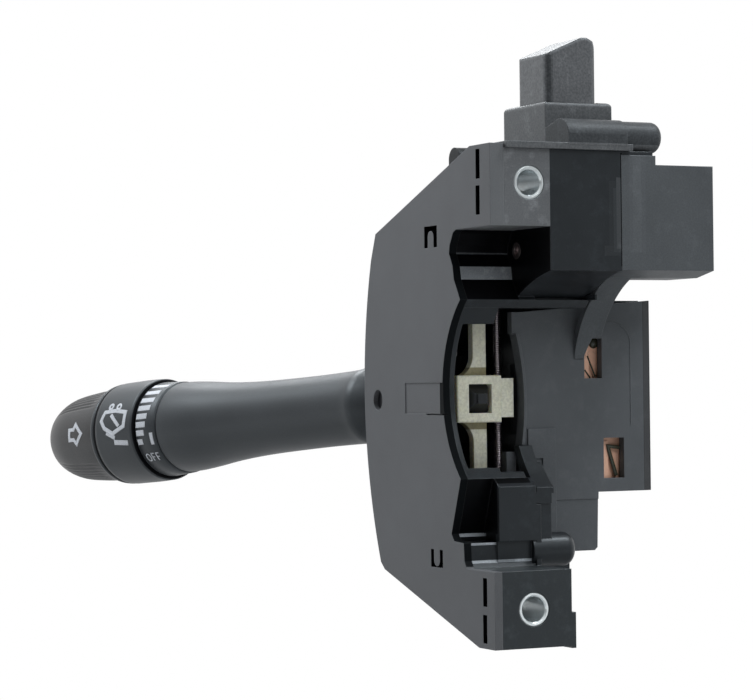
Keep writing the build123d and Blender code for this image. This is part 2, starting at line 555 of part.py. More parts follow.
def lever_carrier():
    """The rocking frame: pivot walls round the stalk's root, an arm, and the pawl's nose."""
    x, y, z = PIVOT_X, STALK_Y, PIVOT_Z
    half = FRAME_HALF - FRAME_WALL
    frame = block(x - 6.2, x + 15.8, y - FRAME_HALF, y + FRAME_HALF, z - 12.9, z + 12.9)
    frame -= block(x - 18, x + 11.8, y - half, y + half, z - 10.2, z + 10.2)
    frame -= block(x - 18, x - 3.6, y - FRAME_HALF - 1, y - half + 1, z - 19, z + 21)
    frame += block(x + 11.8, ARM_END, -4.6, 8.0, z - 6.4, z + 6.9)
    frame += block(ARM_END - 10, ARM_END, 6.0, PLUNGER_Y + 3.8, z - 4.4, z + 4.9)
    frame += rod_y(PLUNGER_Y, CASE_BACK + WALL + 2.5, FINGER_X, z, FINGER_R)
    tip = PAWL_FACE + NOSE_PROUD
    nose = polygon((ARM_END - 2, NOSE_LOW), (tip - 3.6, NOSE_LOW), (tip, NOSE_LOW + 2.6),
                   (tip, NOSE_TOP - 2.6), (tip - 3.6, NOSE_TOP), (ARM_END - 2, NOSE_TOP))
    nose = along_y(nose, -NOSE_Y, NOSE_Y)
    side = polygon((tip - 2.6, NOSE_Y + 1), (tip - 2.6, NOSE_Y), (tip, NOSE_Y - 1.6),
                   (tip + 1, NOSE_Y - 1.6), (tip + 1, NOSE_Y + 1))
    for face in (side, mirror(side, Plane.XZ)):
        nose -= Pos(0, 0, NOSE_LOW - 1) * extrude(face, amount=NOSE_TOP - NOSE_LOW + 2)
    frame += nose + block(tip - 1, tip + 0.9, -1.5, 1.5, NOSE_LOW + 2.6, NOSE_TOP - 2.6)
    for start in (y - FRAME_HALF - 5, y + half - 0.7):
        frame -= rod_y(start, start + 9, x, z, PIVOT_R)
    frame -= rod_z(z - 19, z + 21, x, y, BEAM_PIN_R)
    return frame - rod_x(ARM_END - 8, ARM_END + 1, PLUNGER_Y, z, PLUNGER_R + RUNNING_GAP)


def pivot_pin(y0, y1):
    return rod_y(y0, y1, PIVOT_X, PIVOT_Z, PIVOT_R)


def beam_pivot_pin():
    return rod_z(PIVOT_Z - FRAME_HALF - 0.2, PIVOT_Z + FRAME_HALF + 0.2, PIVOT_X, STALK_Y, BEAM_PIN_R)


def pocket_screw():
    """Round screw head sunk in the back wall of the upper pocket."""
    z = UPPER_SCREW_Z - POCKET_SCREW_DROP
    head = rod_y(UPPER_BLOCK_BACK, UPPER_BLOCK_BACK + 2, POCKET_SCREW_X, z, 2.4)
    return head - rod_y(UPPER_BLOCK_BACK - 1, UPPER_BLOCK_BACK + 1.2, POCKET_SCREW_X, z, 1.3)


def cancel_pawl():
    """The nylon pawl: a square-holed block with a side step, and an arm up and down."""
    pawl = block(PAWL_BACK, PAWL_FACE, STALK_Y - FRAME_HALF, NOSE_Y + 3.4, NOSE_LOW - 2.8, NOSE_TOP + 2.6)
    pawl = fillet(pawl.edges().group_by(Axis.X)[-1], 0.5)
    pawl += block(PAWL_FACE - 1.6, PAWL_FACE - 0.4, 6.0, 11.0, PIVOT_Z - 5.15, PIVOT_Z + 6.05)
    pawl += arm_web(PIVOT_Z + 6.4, CHANNEL_Z + 19.3, 1)
    pawl += arm_web(PIVOT_Z - 6.0, FLOOR_TOP + 1.9, -1)
    return pawl - block(PAWL_BACK - 1, PAWL_FACE + 1, -NOSE_Y - SLIDE_GAP, NOSE_Y + SLIDE_GAP,
                        NOSE_LOW - SLIDE_GAP, NOSE_TOP + SLIDE_GAP)


def arm_web(root, end, way):
    """An arm in Y and Z with a curved web that flares to the left at its root."""
    turn = root + way * 6.4
    web = Polyline((3.6, root), (3.6, end), (-0.6, end), (-0.6, turn))
    web += ThreePointArc((-0.6, turn), (-1.9, root + way * 2.4), (-5.6, root))
    web += Line((-5.6, root), (3.6, root))
    return along_x(make_face(web), PAWL_BACK, PAWL_BACK + 2.8)


def detent_plunger():
    """Round-ended plunger; its end stands a sliding gap off the track."""
    shank = rod_x(ARM_END - 5.4, PIVOT_X + PLUNGER_REACH, PLUNGER_Y, PIVOT_Z, PLUNGER_R)
    return chamfer(shank.edges().filter_by(GeomType.CIRCLE).group_by(Axis.X)[-1], 1.2)


def detent_spring():
    """Pressed length of the spring behind the plunger, in the carrier's bore."""
    start = ARM_END - 8
    coil = rod_x(start, start + 0.4 + PLUNGER_TRAVEL, PLUNGER_Y, PIVOT_Z, 2.3)
    return coil - rod_x(start - 1, start + 5, PLUNGER_Y, PIVOT_Z, 1.6)


def detent_track():
    """The curved track that the plunger's round end runs on, carried by the board."""
    half = 2.5
    horn = SWEEP_R - sqrt(SWEEP_R ** 2 - TRACK_HALF ** 2)
    track = block(PIVOT_X + SWEEP_R - horn, BOARD_BACK, PLUNGER_Y - half, PLUNGER_Y + half,
                  PIVOT_Z - TRACK_HALF, PIVOT_Z + TRACK_HALF)
    return track - rod_y(PLUNGER_Y - half - 1, PLUNGER_Y + half + 1, PIVOT_X, PIVOT_Z, SWEEP_R)


def turn_slider():
    """Carriage of the moving contacts, between the base's wall and the contact seats."""
    y0 = CASE_BACK + WALL + RUNNING_GAP
    slot = FINGER_R + SLIDE_GAP
    slider = block(FINGER_X - 5, FINGER_X + 5, y0, y0 + 2.5, PIVOT_Z - 5, PIVOT_Z + 5)
    return slider - block(FINGER_X - slot - 0.7, FINGER_X + slot + 0.7, y0 - 1, y0 + 4,
                          PIVOT_Z - slot, PIVOT_Z + slot)


def cancel_spring():
    coil = rod_z(FLOOR_TOP, SHELF_LOW, SPRING_X, SPRING_Y, SPRING_R)
    return coil - rod_z(FLOOR_TOP - 1, SHELF_TOP, SPRING_X, SPRING_Y, SPRING_R - 0.45)


def stop_pin():
    """Square stop of the pawl, standing on the lower ledge."""
    x = BOARD_FACE - 1.6
    return block(x - 1.5, x + 1.5, SPRING_Y - 2.0, SPRING_Y + 1.0, FLOOR_TOP, FLOOR_TOP + 7.0)


# Stalk

def stalk_shaft():
    """Neck, waisted shaft and flared end, with a hub on the beam pivot."""
    inner = SHAFT_R - STALK_WALL
    profile = [(0, 4), (NECK_R, 4), (NECK_R, 14), (SHAFT_R, 23), (SHAFT_R, SHAFT_END - 42),
               (SHAFT_R + 1.9, SHAFT_END - 19), (SHAFT_END_R - 0.2, SHAFT_END - 8), (SHAFT_END_R, SHAFT_END),
               (SHAFT_END_R - STALK_WALL, SHAFT_END), (inner, SHAFT_END - 24), (inner, 30), (CORE_R, 30),
               (CORE_R, 22), (0, 22)]
    hub = rod_z(PIVOT_Z - 8.6, PIVOT_Z + 8.6, PIVOT_X, STALK_Y, HUB_R)
    bore = rod_z(PIVOT_Z - 19, PIVOT_Z + 19, PIVOT_X, STALK_Y, BEAM_PIN_R + RUNNING_GAP)
    return turned(*profile) + hub - bore


def stalk_core():
    """Tube that carries the band, the knob and the washer button."""
    end = KNOB_END - 7
    return turned((CORE_BORE, 22), (CORE_R, 22), (CORE_R, end), (CORE_BORE, end))


def tick_band():
    return turned((CORE_R, SHAFT_END), (BAND_R - 0.5, SHAFT_END), (BAND_R, BAND_END), (CORE_R, BAND_END))


def wiper_knob():
    """Ring knob: a bore on the core, a floor, and a lip that the washer button moves in."""
    bore = CORE_R + RUNNING_GAP
    lip = CAP_R + PART_GAP
    floor = CAP_START - WASHER_TRAVEL - 2
    inner = lip - 2.4
    return turned((bore, KNOB_START), (KNOB_R - 0.2, KNOB_START), (KNOB_R, KNOB_START + 4), (KNOB_R, floor),
                  (lip + 0.9, KNOB_END), (lip, KNOB_END), (lip, floor), (inner, floor),
                  (inner, KNOB_START + 4), (bore + 2.4, KNOB_START + 4), (bore + 2.4, KNOB_END - 8),
                  (bore, KNOB_END - 8))


def washer_button():
    """The end of the stalk: a hollow button whose stem slides in the core."""
    stem = CORE_BORE - RUNNING_GAP
    start = CAP_START
    inner = CAP_R - 2.5
    return turned((0, start - 15), (stem, start - 15), (stem, start + 14), (inner, start + 14),
                  (inner, start), (CAP_R, start), (CAP_R, start + 8), (CAP_R - 1.2, start + 21),
                  (CAP_R - 3.6, start + 28), (CAP_R - 8.1, TIP - 1.6), (3.0, TIP - 0.1), (0, TIP - 0.1))


def washer_spring():
    """Pressed length of the spring between the core's plug and the button's stem."""
    start = CAP_START - 25
    length = 9.5 - WASHER_TRAVEL
    return turned((2.4, start), (3.6, start), (3.6, start + length), (2.4, start + length))


def core_plug():
    """Stop inside the core that the washer spring stands on."""
    start = CAP_START - 27
    return turned((0, start), (CORE_BORE, start), (CORE_BORE, start + 2), (0, start + 2))


# Hazard switch

def hazard_base():
    """Flange, guide skirt of the button, and the D-shaped bar that ends in a round horn."""
    flange = block(-CORNER_WIDTH, 1.4, -7.6, FLANGE_END, FLANGE_LOW, FLANGE_TOP)
    x0, x1 = SKIRT_X
    y0, y1 = SKIRT_Y
    root = FLANGE_LOW - 18
    skirt = block(x0, x1, y0, y1, slope_z(x0) - 2, SKIRT_TOP)
    skirt = fillet(skirt.edges().group_by(Axis.Z)[-1], 1.4)
    edge = -TOP_FLAT - 2.2
    below = polygon((x0 - 1, root), (0, root), (0, FLANGE_LOW), (edge, FLANGE_LOW), (edge, slope_z(edge)),
                    (x0 - 1, slope_z(x0 - 1)))
    skirt -= along_y(below, y0 - 1, y1 + 1)
    skirt -= block(x0 - 1, 2, CASE_BACK, y1 + 1, root, FLANGE_LOW)
    top = FLANGE_LOW + BAR_HEIGHT
    bar = Polyline((-4.4, top), (x1 - 0.1, top - 2.0), (x1 - 0.1, FLANGE_TOP - 0.5), (1.5, FLANGE_TOP - 0.5),
                   (1.5, top - 4.4)) + ThreePointArc((1.5, top - 4.4), (-0.6, top - 1.0), (-4.4, top))
    horn = rod_y(BAR_END, HORN_END, -4.4, top - HORN_R - 0.2, HORN_R)
    horn = fillet(horn.edges().filter_by(GeomType.CIRCLE).group_by(Axis.Y)[-1], 2.5)
    gap = 2 * SLIDE_GAP
    return flange + skirt + along_y(make_face(bar), y0, BAR_END) + horn - block(
        BUTTON_X[0] - gap, BUTTON_X[1] + gap, BUTTON_Y[0] - gap, BUTTON_Y[1] + gap,
        FLANGE_TOP, SKIRT_TOP + 5)


def hazard_button():
    """Tall button, low towards the driver and peaked behind, with rounded edges."""
    y0, y1 = BUTTON_Y
    low = FLANGE_TOP + HAZARD_TRAVEL + 1
    top = SKIRT_TOP + BUTTON_PROUD
    face = polygon((y0, low), (y1, low), (y1, top - 3.6), (y1 - 1.2, top - 1.0), (y1 - 3.2, top),
                   (y1 - 5.0, top), (y0, top - 5.0))
    button = along_x(face, *BUTTON_X)
    button = fillet(button.edges().filter_by(Axis.Z), BUTTON_ROUND)
    return button


def hazard_spring():
    x, y = sum(BUTTON_X) / 2, sum(BUTTON_Y) / 2
    low, high = FLANGE_TOP, FLANGE_TOP + HAZARD_TRAVEL + 1
    return rod_z(low, high, x, y, 3.6) - rod_z(low - 1, high + 1, x, y, 2.8)


NODES = {
    "housing": housing,
    "front_cover": front_cover,
    "upper_bushing": lambda: bushing(UPPER_SCREW_Z),
    "lower_bushing": lambda: bushing(LOWER_SCREW_Z),
    "terminal_board": terminal_board,
    "switch_base": switch_base,
    "turn_contact": lambda: contact(TURN_WINDOW),
    "beam_contact": lambda: contact(BEAM_WINDOW),
    "upper_connector": upper_connector,
    "upper_terminals": upper_terminals,
    "lower_connector": lower_connector,
    "lower_terminals": lower_terminals,
    "lever_carrier": lever_carrier,
    "front_pivot_pin": lambda: pivot_pin(COVER_BACK - 0.9, STALK_Y - FRAME_HALF + FRAME_WALL),
    "pocket_screw": pocket_screw,
    "rear_pivot_pin": lambda: pivot_pin(STALK_Y + FRAME_HALF - FRAME_WALL, CASE_BACK - 4),
    "beam_pivot_pin": beam_pivot_pin,
    "cancel_pawl": cancel_pawl,
    "detent_plunger": detent_plunger,
    "detent_spring": detent_spring,
    "detent_track": detent_track,
    "turn_slider": turn_slider,
    "cancel_spring": cancel_spring,
    "stop_pin": stop_pin,
    "stalk_shaft": stalk_shaft,
    "stalk_core": stalk_core,
    "tick_band": tick_band,
    "wiper_knob": wiper_knob,
    "washer_button": washer_button,
    "washer_spring": washer_spring,
    "core_plug": core_plug,
    "hazard_base": hazard_base,
    "hazard_button": hazard_button,
    "hazard_spring": hazard_spring,
}

os.makedirs("parts", exist_ok=True)
for name, make in NODES.items():
    export_step(make(), "parts/" + name + ".step")
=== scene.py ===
import json
from math import cos, pi, radians, sin

import bmesh
import bpy
import numpy as np
from mathutils import Matrix, Vector


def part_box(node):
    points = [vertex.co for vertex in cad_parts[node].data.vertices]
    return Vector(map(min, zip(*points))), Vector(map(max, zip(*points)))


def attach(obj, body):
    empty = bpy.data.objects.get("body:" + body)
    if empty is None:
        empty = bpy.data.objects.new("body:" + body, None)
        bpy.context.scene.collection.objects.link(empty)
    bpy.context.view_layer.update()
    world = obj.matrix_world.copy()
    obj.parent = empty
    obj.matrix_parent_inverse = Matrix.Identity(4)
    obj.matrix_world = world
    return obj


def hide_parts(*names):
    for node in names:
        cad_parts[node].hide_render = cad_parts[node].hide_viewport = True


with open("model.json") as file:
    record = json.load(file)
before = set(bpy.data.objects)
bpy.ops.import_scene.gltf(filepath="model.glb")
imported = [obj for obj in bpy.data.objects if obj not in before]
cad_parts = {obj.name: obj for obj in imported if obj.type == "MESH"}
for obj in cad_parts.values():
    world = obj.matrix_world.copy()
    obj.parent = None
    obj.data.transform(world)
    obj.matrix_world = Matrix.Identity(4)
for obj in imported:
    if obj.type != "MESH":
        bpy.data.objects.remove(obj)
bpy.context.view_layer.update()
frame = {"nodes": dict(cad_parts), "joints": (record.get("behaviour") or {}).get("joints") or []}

# Camera: level with the switch, on the column's side and towards the driver, so that the bracket
# face, the cover and the whole stalk are in the picture. The focal length is in picture pixels.
scene = bpy.context.scene
PICTURE_WIDTH = 753
FOCAL_LENGTH = 2700
HORIZON_BELOW_MIDDLE = 30
VIEW_AZIMUTH = 64.1
VIEW_ROLL = 0.7
SENSOR_WIDTH = 36
EYE_PLACE = (0.65225, -0.36428, 0.00494)

camera = bpy.data.cameras.new("camera")
camera.sensor_width = SENSOR_WIDTH
camera.lens = FOCAL_LENGTH * SENSOR_WIDTH / PICTURE_WIDTH
camera.shift_y = HORIZON_BELOW_MIDDLE / PICTURE_WIDTH
camera.clip_end = 20
eye = bpy.data.objects.new("camera", camera)
scene.collection.objects.link(eye)
eye.matrix_world = (Matrix.Translation(EYE_PLACE)
                    @ Matrix.Rotation(radians(VIEW_AZIMUTH), 4, "Z")
                    @ Matrix.Rotation(radians(90), 4, "X")
                    @ Matrix.Rotation(radians(-VIEW_ROLL), 4, "Z"))
scene.camera = eye
scene.view_settings.view_transform = "Standard"


# Room: a white studio. It is white to the eye and bright above and below. It is dim behind the
# camera and on the driver's side, which gives the stalk its dark middle between two lit edges.
def shader_node(tree, kind, **inputs):
    """A new node; each input is named in words and gets a value or another node's output."""
    made = tree.nodes.new(kind)
    for words, value in inputs.items():
        socket = made.inputs[int(words[1:])] if words[0] == "i" and words[1:].isdigit() \
            else made.inputs[words.replace("_", " ")]
        if isinstance(value, bpy.types.NodeSocket):
            tree.links.new(value, socket)
        else:
            socket.default_value = value
    return made


def arithmetic(tree, operation, first, second=0.0, clamp=False):
    """The output of one Math node."""
    made = shader_node(tree, "ShaderNodeMath", i0=first, i1=second)
    made.operation = operation
    made.use_clamp = clamp
    return made.outputs[0]


DIM_LEVEL = 0.04
DIM_SPREAD = 0.4
DIM_SIDE = (0.80, -0.60, 0.0)
ROOM_LIGHT = 0.12
world = bpy.data.worlds.new("studio")
scene.world = world
world.use_nodes = True
air = world.node_tree
air.nodes.clear()
rays = air.nodes.new("ShaderNodeLightPath")
look = air.nodes.new("ShaderNodeTexCoord")
toward = shader_node(air, "ShaderNodeVectorMath", i0=look.outputs["Generated"], i1=DIM_SIDE)
toward.operation = "DOT_PRODUCT"
split = shader_node(air, "ShaderNodeSeparateXYZ", Vector=look.outputs["Generated"])
height = arithmetic(air, "ABSOLUTE", split.outputs["Z"])
level_part = arithmetic(air, "SUBTRACT", 1.0, height)
front = arithmetic(air, "MAXIMUM", toward.outputs["Value"], 0.0)
dark = arithmetic(air, "MULTIPLY", arithmetic(air, "POWER", front, DIM_SPREAD), level_part)
studio = arithmetic(air, "SUBTRACT", 1.0, arithmetic(air, "MULTIPLY", dark, 1.0 - DIM_LEVEL), clamp=True)
straight = arithmetic(air, "MAXIMUM", rays.outputs["Is Camera Ray"], rays.outputs["Is Transmission Ray"])
gloss = arithmetic(air, "MULTIPLY", rays.outputs["Is Glossy Ray"], studio)
room_light = arithmetic(air, "MULTIPLY", studio, ROOM_LIGHT)
soft = arithmetic(air, "MULTIPLY", rays.outputs["Is Diffuse Ray"], room_light)
strength = arithmetic(air, "ADD", arithmetic(air, "ADD", straight, gloss, clamp=True), soft)
sky = shader_node(air, "ShaderNodeBackground", Color=(1, 1, 1, 1), Strength=strength)
ceiling = air.nodes.new("ShaderNodeOutputWorld")
air.links.new(sky.outputs[0], ceiling.inputs["Surface"])


CASE_MIDDLE = Vector((-0.05, 0.0, 0.0))
LAMP_TINT = (0.96, 0.98, 1.0)


def soft_lamp(name, place, size, power):
    """A square softbox of the given side in metres and power in watts that faces the middle of the case."""
    lamp = bpy.data.lights.new(name, "AREA")
    lamp.size = size
    lamp.energy = power
    lamp.color = LAMP_TINT
    stand = bpy.data.objects.new(name, lamp)
    scene.collection.objects.link(stand)
    aim = CASE_MIDDLE - Vector(place)
    stand.matrix_world = Matrix.Translation(place) @ aim.to_track_quat("-Z", "Y").to_matrix().to_4x4()


soft_lamp("key_lamp", (-0.30, -0.44, 0.60), 0.30, 3.9)
soft_lamp("side_lamp", (0.85, 0.15, 0.75), 0.5, 4.4)
soft_lamp("top_lamp", (0.20, 0.42, 0.76), 0.22, 3.4)
soft_lamp("stalk_lamp", (-0.64, 0.10, 0.66), 0.35, 4.0)


# Floor: a pale sheet of paper below the switch, which keeps its shadow and fades into the white
# room. It is paler to the eye than it is in the pieces' gloss.
FLOOR_Z = -0.16
FLOOR_RADIUS = 1.5
FADE_START, FADE_END = 0.25, 0.60
PAPER_GREY, PAPER_SEEN = (0.45,) * 3, (0.90,) * 3
PAPER_GLOW, GLOW_SEEN = 0.03, 0.30


def grid(points, close_u=False, close_v=False, caps=False, flip=False):
    """Vertices and quads over an array of points (rows, columns, 3); a closed side joins end to start."""
    rows, columns = points.shape[:2]
    index = np.arange(rows * columns).reshape(rows, columns)
    if close_u:
        index = np.vstack([index, index[:1]])
    if close_v:
        index = np.hstack([index, index[:, :1]])
    quads = np.stack([index[:-1, :-1], index[1:, :-1], index[1:, 1:], index[:-1, 1:]], -1).reshape(-1, 4)
    faces = (quads[:, ::-1] if flip else quads).tolist()
    if caps:
        faces += [index[0, :columns].tolist(), index[-1, :columns][::-1].tolist()]
    return points.reshape(-1, 3), faces


def piece(name, parts, material, smooth=True):
    """One object from a list of (vertices, faces)."""
    vertices, faces = [], []
    for points, quads in parts:
        start = len(vertices)
        vertices += points.tolist()
        faces += [[start + i for i in q] for q in quads]
    mesh = bpy.data.meshes.new(name)
    mesh.from_pydata(vertices, [], faces)
    if smooth:
        mesh.shade_smooth()
    mesh.update()
    mesh.materials.append(material)
    made = bpy.data.objects.new(name, mesh)
    scene.collection.objects.link(made)
    return made


def colour_mix(tree, factor, first, second):
    """The output of one colour Mix node; a colour is three numbers or another node's output."""
    made = tree.nodes.new("ShaderNodeMix")
    made.data_type = "RGBA"
    for socket, value in ((made.inputs[0], factor), (made.inputs[6], first), (made.inputs[7], second)):
        if isinstance(value, bpy.types.NodeSocket):
            tree.links.new(value, socket)
        else:
            socket.default_value = value if isinstance(value, float) else (*value, 1)
    return made.outputs[2]


ring = np.linspace(0, FLOOR_RADIUS, 30)[:, None]
turn = np.linspace(0, 2 * pi, 64, endpoint=False)[None, :]
disc = np.stack([ring * np.cos(turn), ring * np.sin(turn), FLOOR_Z + 0 * ring * turn], -1)
paper = bpy.data.materials.new("floor_paper")
paper.use_nodes = True
sheet = paper.node_tree
sheet.nodes.clear()
seen = sheet.nodes.new("ShaderNodeLightPath")
place = sheet.nodes.new("ShaderNodeTexCoord")
reach = shader_node(sheet, "ShaderNodeVectorMath", i0=place.outputs["Object"])
reach.operation = "LENGTH"
fade = shader_node(sheet, "ShaderNodeMapRange", Value=reach.outputs["Value"], From_Min=FADE_START,
                   From_Max=FADE_END)
direct = seen.outputs["Is Camera Ray"]
matte = shader_node(sheet, "ShaderNodeBsdfDiffuse", Color=colour_mix(sheet, direct, PAPER_GREY, PAPER_SEEN))
glow_level = arithmetic(sheet, "ADD", arithmetic(sheet, "MULTIPLY", direct, GLOW_SEEN), PAPER_GLOW)
glow = shader_node(sheet, "ShaderNodeEmission", Color=(1, 1, 1, 1), Strength=glow_level)
lit = sheet.nodes.new("ShaderNodeAddShader")
sheet.links.new(matte.outputs[0], lit.inputs[0])
sheet.links.new(glow.outputs[0], lit.inputs[1])
white = shader_node(sheet, "ShaderNodeEmission", Color=(1, 1, 1, 1), Strength=1.0)
blend = sheet.nodes.new("ShaderNodeMixShader")
sheet.links.new(fade.outputs[0], blend.inputs[0])
sheet.links.new(lit.outputs[0], blend.inputs[1])
sheet.links.new(white.outputs[0], blend.inputs[2])
ground = sheet.nodes.new("ShaderNodeOutputMaterial")
sheet.links.new(blend.outputs[0], ground.inputs["Surface"])
floor = piece("floor", [grid(disc, close_v=True)], paper)


# Case: one C-shaped moulding in black glass-filled nylon. Its mounting blocks are spark-eroded
# and look paler; the lower one is painted much darker, as painted shade. The rest is smooth and
# nearly black, and its edges show a thin pale line, partly wear and partly painted highlight. The
# pockets and slots are painted near black as painted shade, with painted highlights on their ledges.
MM = 0.001
# The pale line on edges is partly wear and partly a painted highlight
WEAR_AND_SHEEN_GAIN, WEAR_AND_SHEEN_LIFT = (2.2,) * 3, (0.03,) * 3
COOL_SHINE = (0.84, 0.94, 1.0, 1)
CLOUD_SCALE, SCUFF_SCALE = 45.0, 160.0


def box_mask(tree, where, low, high):
    """1 inside a box of Object coordinates in millimetres, 0 outside."""
    parts = shader_node(tree, "ShaderNodeSeparateXYZ", Vector=where)
    mask = 1.0
    for name, start, end in zip("XYZ", low, high):
        above = arithmetic(tree, "GREATER_THAN", parts.outputs[name], start * MM)
        below = arithmetic(tree, "LESS_THAN", parts.outputs[name], end * MM)
        mask = arithmetic(tree, "MULTIPLY", arithmetic(tree, "MULTIPLY", above, below), mask)
    return mask


def moulded_plastic(name, colour, roughness, grain, depth, edge=0.0004, wear_and_sheen=0.35, mottle=0.12, specular=0.5,
                    zones=(), speckle=0.12, scuffs=0.0):
    """Moulded plastic: fine bump of a given grain in metres, cloudy colour, edges rounded in the shading.

    The colour is the base times (1 +- mottle) from a cloud and (1 +- speckle) from the fine grain,
    with paler scuffs of the given strength in patches.

    Each zone is (low corner, high corner, colour, specular level), with corners in millimetres, and
    lies over the ones before it. The pale edge line, partly wear and partly painted highlight, is
    where the rounded normal leaves the face's own normal, and its colour is the plastic's times a
    gain plus a lift.
    """
    made = bpy.data.materials.new(name)
    made.use_nodes = True
    tree = made.node_tree
    skin = tree.nodes["Principled BSDF"]
    where = tree.nodes.new("ShaderNodeTexCoord").outputs["Object"]
    fine = shader_node(tree, "ShaderNodeTexNoise", Vector=where, Scale=1 / grain, Detail=3.0, Roughness=0.6)
    cloud = shader_node(tree, "ShaderNodeTexNoise", Vector=where, Scale=CLOUD_SCALE, Detail=5.0,
                        Roughness=0.6)
    round_edge = shader_node(tree, "ShaderNodeBevel", Radius=edge)
    round_edge.samples = 6
    bump = shader_node(tree, "ShaderNodeBump", Strength=1.0, Distance=depth, Height=fine.outputs["Fac"],
                       Normal=round_edge.outputs[0])
    flat = tree.nodes.new("ShaderNodeNewGeometry")
    turn_away = shader_node(tree, "ShaderNodeVectorMath", i0=round_edge.outputs[0], i1=flat.outputs["Normal"])
    turn_away.operation = "DOT_PRODUCT"
    edge_mask = shader_node(tree, "ShaderNodeMapRange", Value=turn_away.outputs["Value"],
                            From_Min=0.995, From_Max=0.86, To_Min=0.0, To_Max=wear_and_sheen)
    base, gloss = colour, specular
    for low, high, zone_colour, zone_gloss in zones:
        mask = box_mask(tree, where, low, high)
        base = colour_mix(tree, mask, base, zone_colour)
        gloss = arithmetic(tree, "ADD", gloss, arithmetic(tree, "MULTIPLY", mask, arithmetic(
            tree, "SUBTRACT", zone_gloss, gloss)))
    shade = shader_node(tree, "ShaderNodeMapRange", Value=cloud.outputs["Fac"], From_Min=0.25, From_Max=0.75,
                        To_Min=1 - mottle, To_Max=1 + mottle)
    dots = shader_node(tree, "ShaderNodeMapRange", Value=fine.outputs["Fac"], From_Min=0.35, From_Max=0.65,
                       To_Min=1 - speckle, To_Max=1 + speckle)
    rubbed = shader_node(tree, "ShaderNodeTexNoise", Vector=where, Scale=SCUFF_SCALE, Detail=8.0,
                         Roughness=0.7)
    patches = shader_node(tree, "ShaderNodeMapRange", Value=rubbed.outputs["Fac"], From_Min=0.52,
                          From_Max=0.72, To_Min=1.0, To_Max=1.0 + scuffs)
    cloudy = arithmetic(tree, "MULTIPLY", arithmetic(tree, "MULTIPLY", shade.outputs[0], dots.outputs[0]),
                        patches.outputs[0])
    tint = shader_node(tree, "ShaderNodeVectorMath", i0=base, i1=cloudy)
    tint.operation = "MULTIPLY"
    wear_and_sheen_tint = shader_node(tree, "ShaderNodeVectorMath", i0=tint.outputs[0], i1=WEAR_AND_SHEEN_GAIN, i2=WEAR_AND_SHEEN_LIFT)
    wear_and_sheen_tint.operation = "MULTIPLY_ADD"
    pale = colour_mix(tree, edge_mask.outputs[0], tint.outputs[0], wear_and_sheen_tint.outputs[0])
    tree.links.new(pale, skin.inputs["Base Color"])
    shine = shader_node(tree, "ShaderNodeMapRange", Value=cloud.outputs["Fac"], From_Min=0.3, From_Max=0.7,
                        To_Min=roughness - 0.05, To_Max=roughness + 0.05)
    tree.links.new(shine.outputs[0], skin.inputs["Roughness"])
    tree.links.new(bump.outputs[0], skin.inputs["Normal"])
    skin.inputs["Specular Tint"].default_value = COOL_SHINE
    if zones:
        tree.links.new(gloss, skin.inputs["Specular IOR Level"])
    else:
        skin.inputs["Specular IOR Level"].default_value = specular
    return made


def dress(node, material):
    """Gives a CAD node its finish."""
    mesh = frame["nodes"][node].data
    mesh.materials.clear()
    mesh.materials.append(material)


BLOCK_GREY = (0.118, 0.124, 0.131)
# The lower mounting block has the upper one's spark-eroded finish, painted much darker as painted shade,
# since the light falls from above
SHADED_LOWER_BLOCK_GREY = (0.024, 0.028, 0.031)
LUG_GREY = (0.020, 0.022, 0.024)
# Painted highlights: pale bands and lines on the pockets' ledges and ridges, where their glossy facets would
# catch the lamps
LIT_LEDGE = (0.22, 0.24, 0.26)
LIT_LINE = (0.32, 0.35, 0.38)
FAINT_HIGHLIGHT_LINE = (0.05, 0.055, 0.06)
# Near black painted into the pockets, slots and snap windows as painted shade; it is also the colour of the
# dark joint beside the connector
RECESS_SHADE_AND_JOINT_BLACK = (0.0015, 0.0015, 0.002)
# Painted shade: the long slots beside the bushings and the windows of the two snaps, in the case and the
# cover, are painted near black
SLOT_SHADE = [((-8.6, -12.2, low), (-4.2, 0, high), RECESS_SHADE_AND_JOINT_BLACK, 0.03) for low, high in ((49.4, 69.3), (-69.3, -49.4))]
SNAP_WINDOW_SHADE = [((-40.4, -12.2, 42.3), (-31.8, -4, 49.1), RECESS_SHADE_AND_JOINT_BLACK, 0.03),
         ((-38.5, -12.2, -49.1), (-30.5, -4, -43.4), RECESS_SHADE_AND_JOINT_BLACK, 0.03)]
MOUNTING_BLOCKS = [((-30, -13, 46.6), (1, 6.6, 71), BLOCK_GREY, 0.5),
                   ((-30, -13, -71), (1, 14, -47.8), SHADED_LOWER_BLOCK_GREY, 0.42)]
# The upper pocket: painted shade over all of it, with a painted lit ledge and a faint painted highlight line
UPPER_POCKET_SHADE_AND_HIGHLIGHTS = [((-31, -12.2, 27.25), (-0.3, 6.7, 46.9), RECESS_SHADE_AND_JOINT_BLACK, 0.06),
                ((-31, -12.2, 33.0), (-19, 6.5, 36.7), LIT_LEDGE, 0.6),
                ((-31, -12.2, 40.2), (-19, 6.5, 40.7), FAINT_HIGHLIGHT_LINE, 0.5)]
# A streak beside the connector, paler in steps towards the dark joint between the two
STEPPED_PALE_STREAK = [((-0.6, 25.6, 39), (0.5, 29.4, 60), (0.016, 0.018, 0.0205), 0.42),
                 ((-0.6, 24, 39), (0.5, 29.4, 41.8), (0.020, 0.022, 0.025), 0.42),
                 ((-0.6, 27.0, 40), (0.5, 29.4, 58), (0.026, 0.029, 0.032), 0.44),
                 ((-0.6, 28.0, 41), (0.5, 29.4, 61), (0.044, 0.048, 0.052), 0.46),
                 ((-0.6, 29.4, 36), (0.5, 30.2, 68), RECESS_SHADE_AND_JOINT_BLACK, 0.05)]
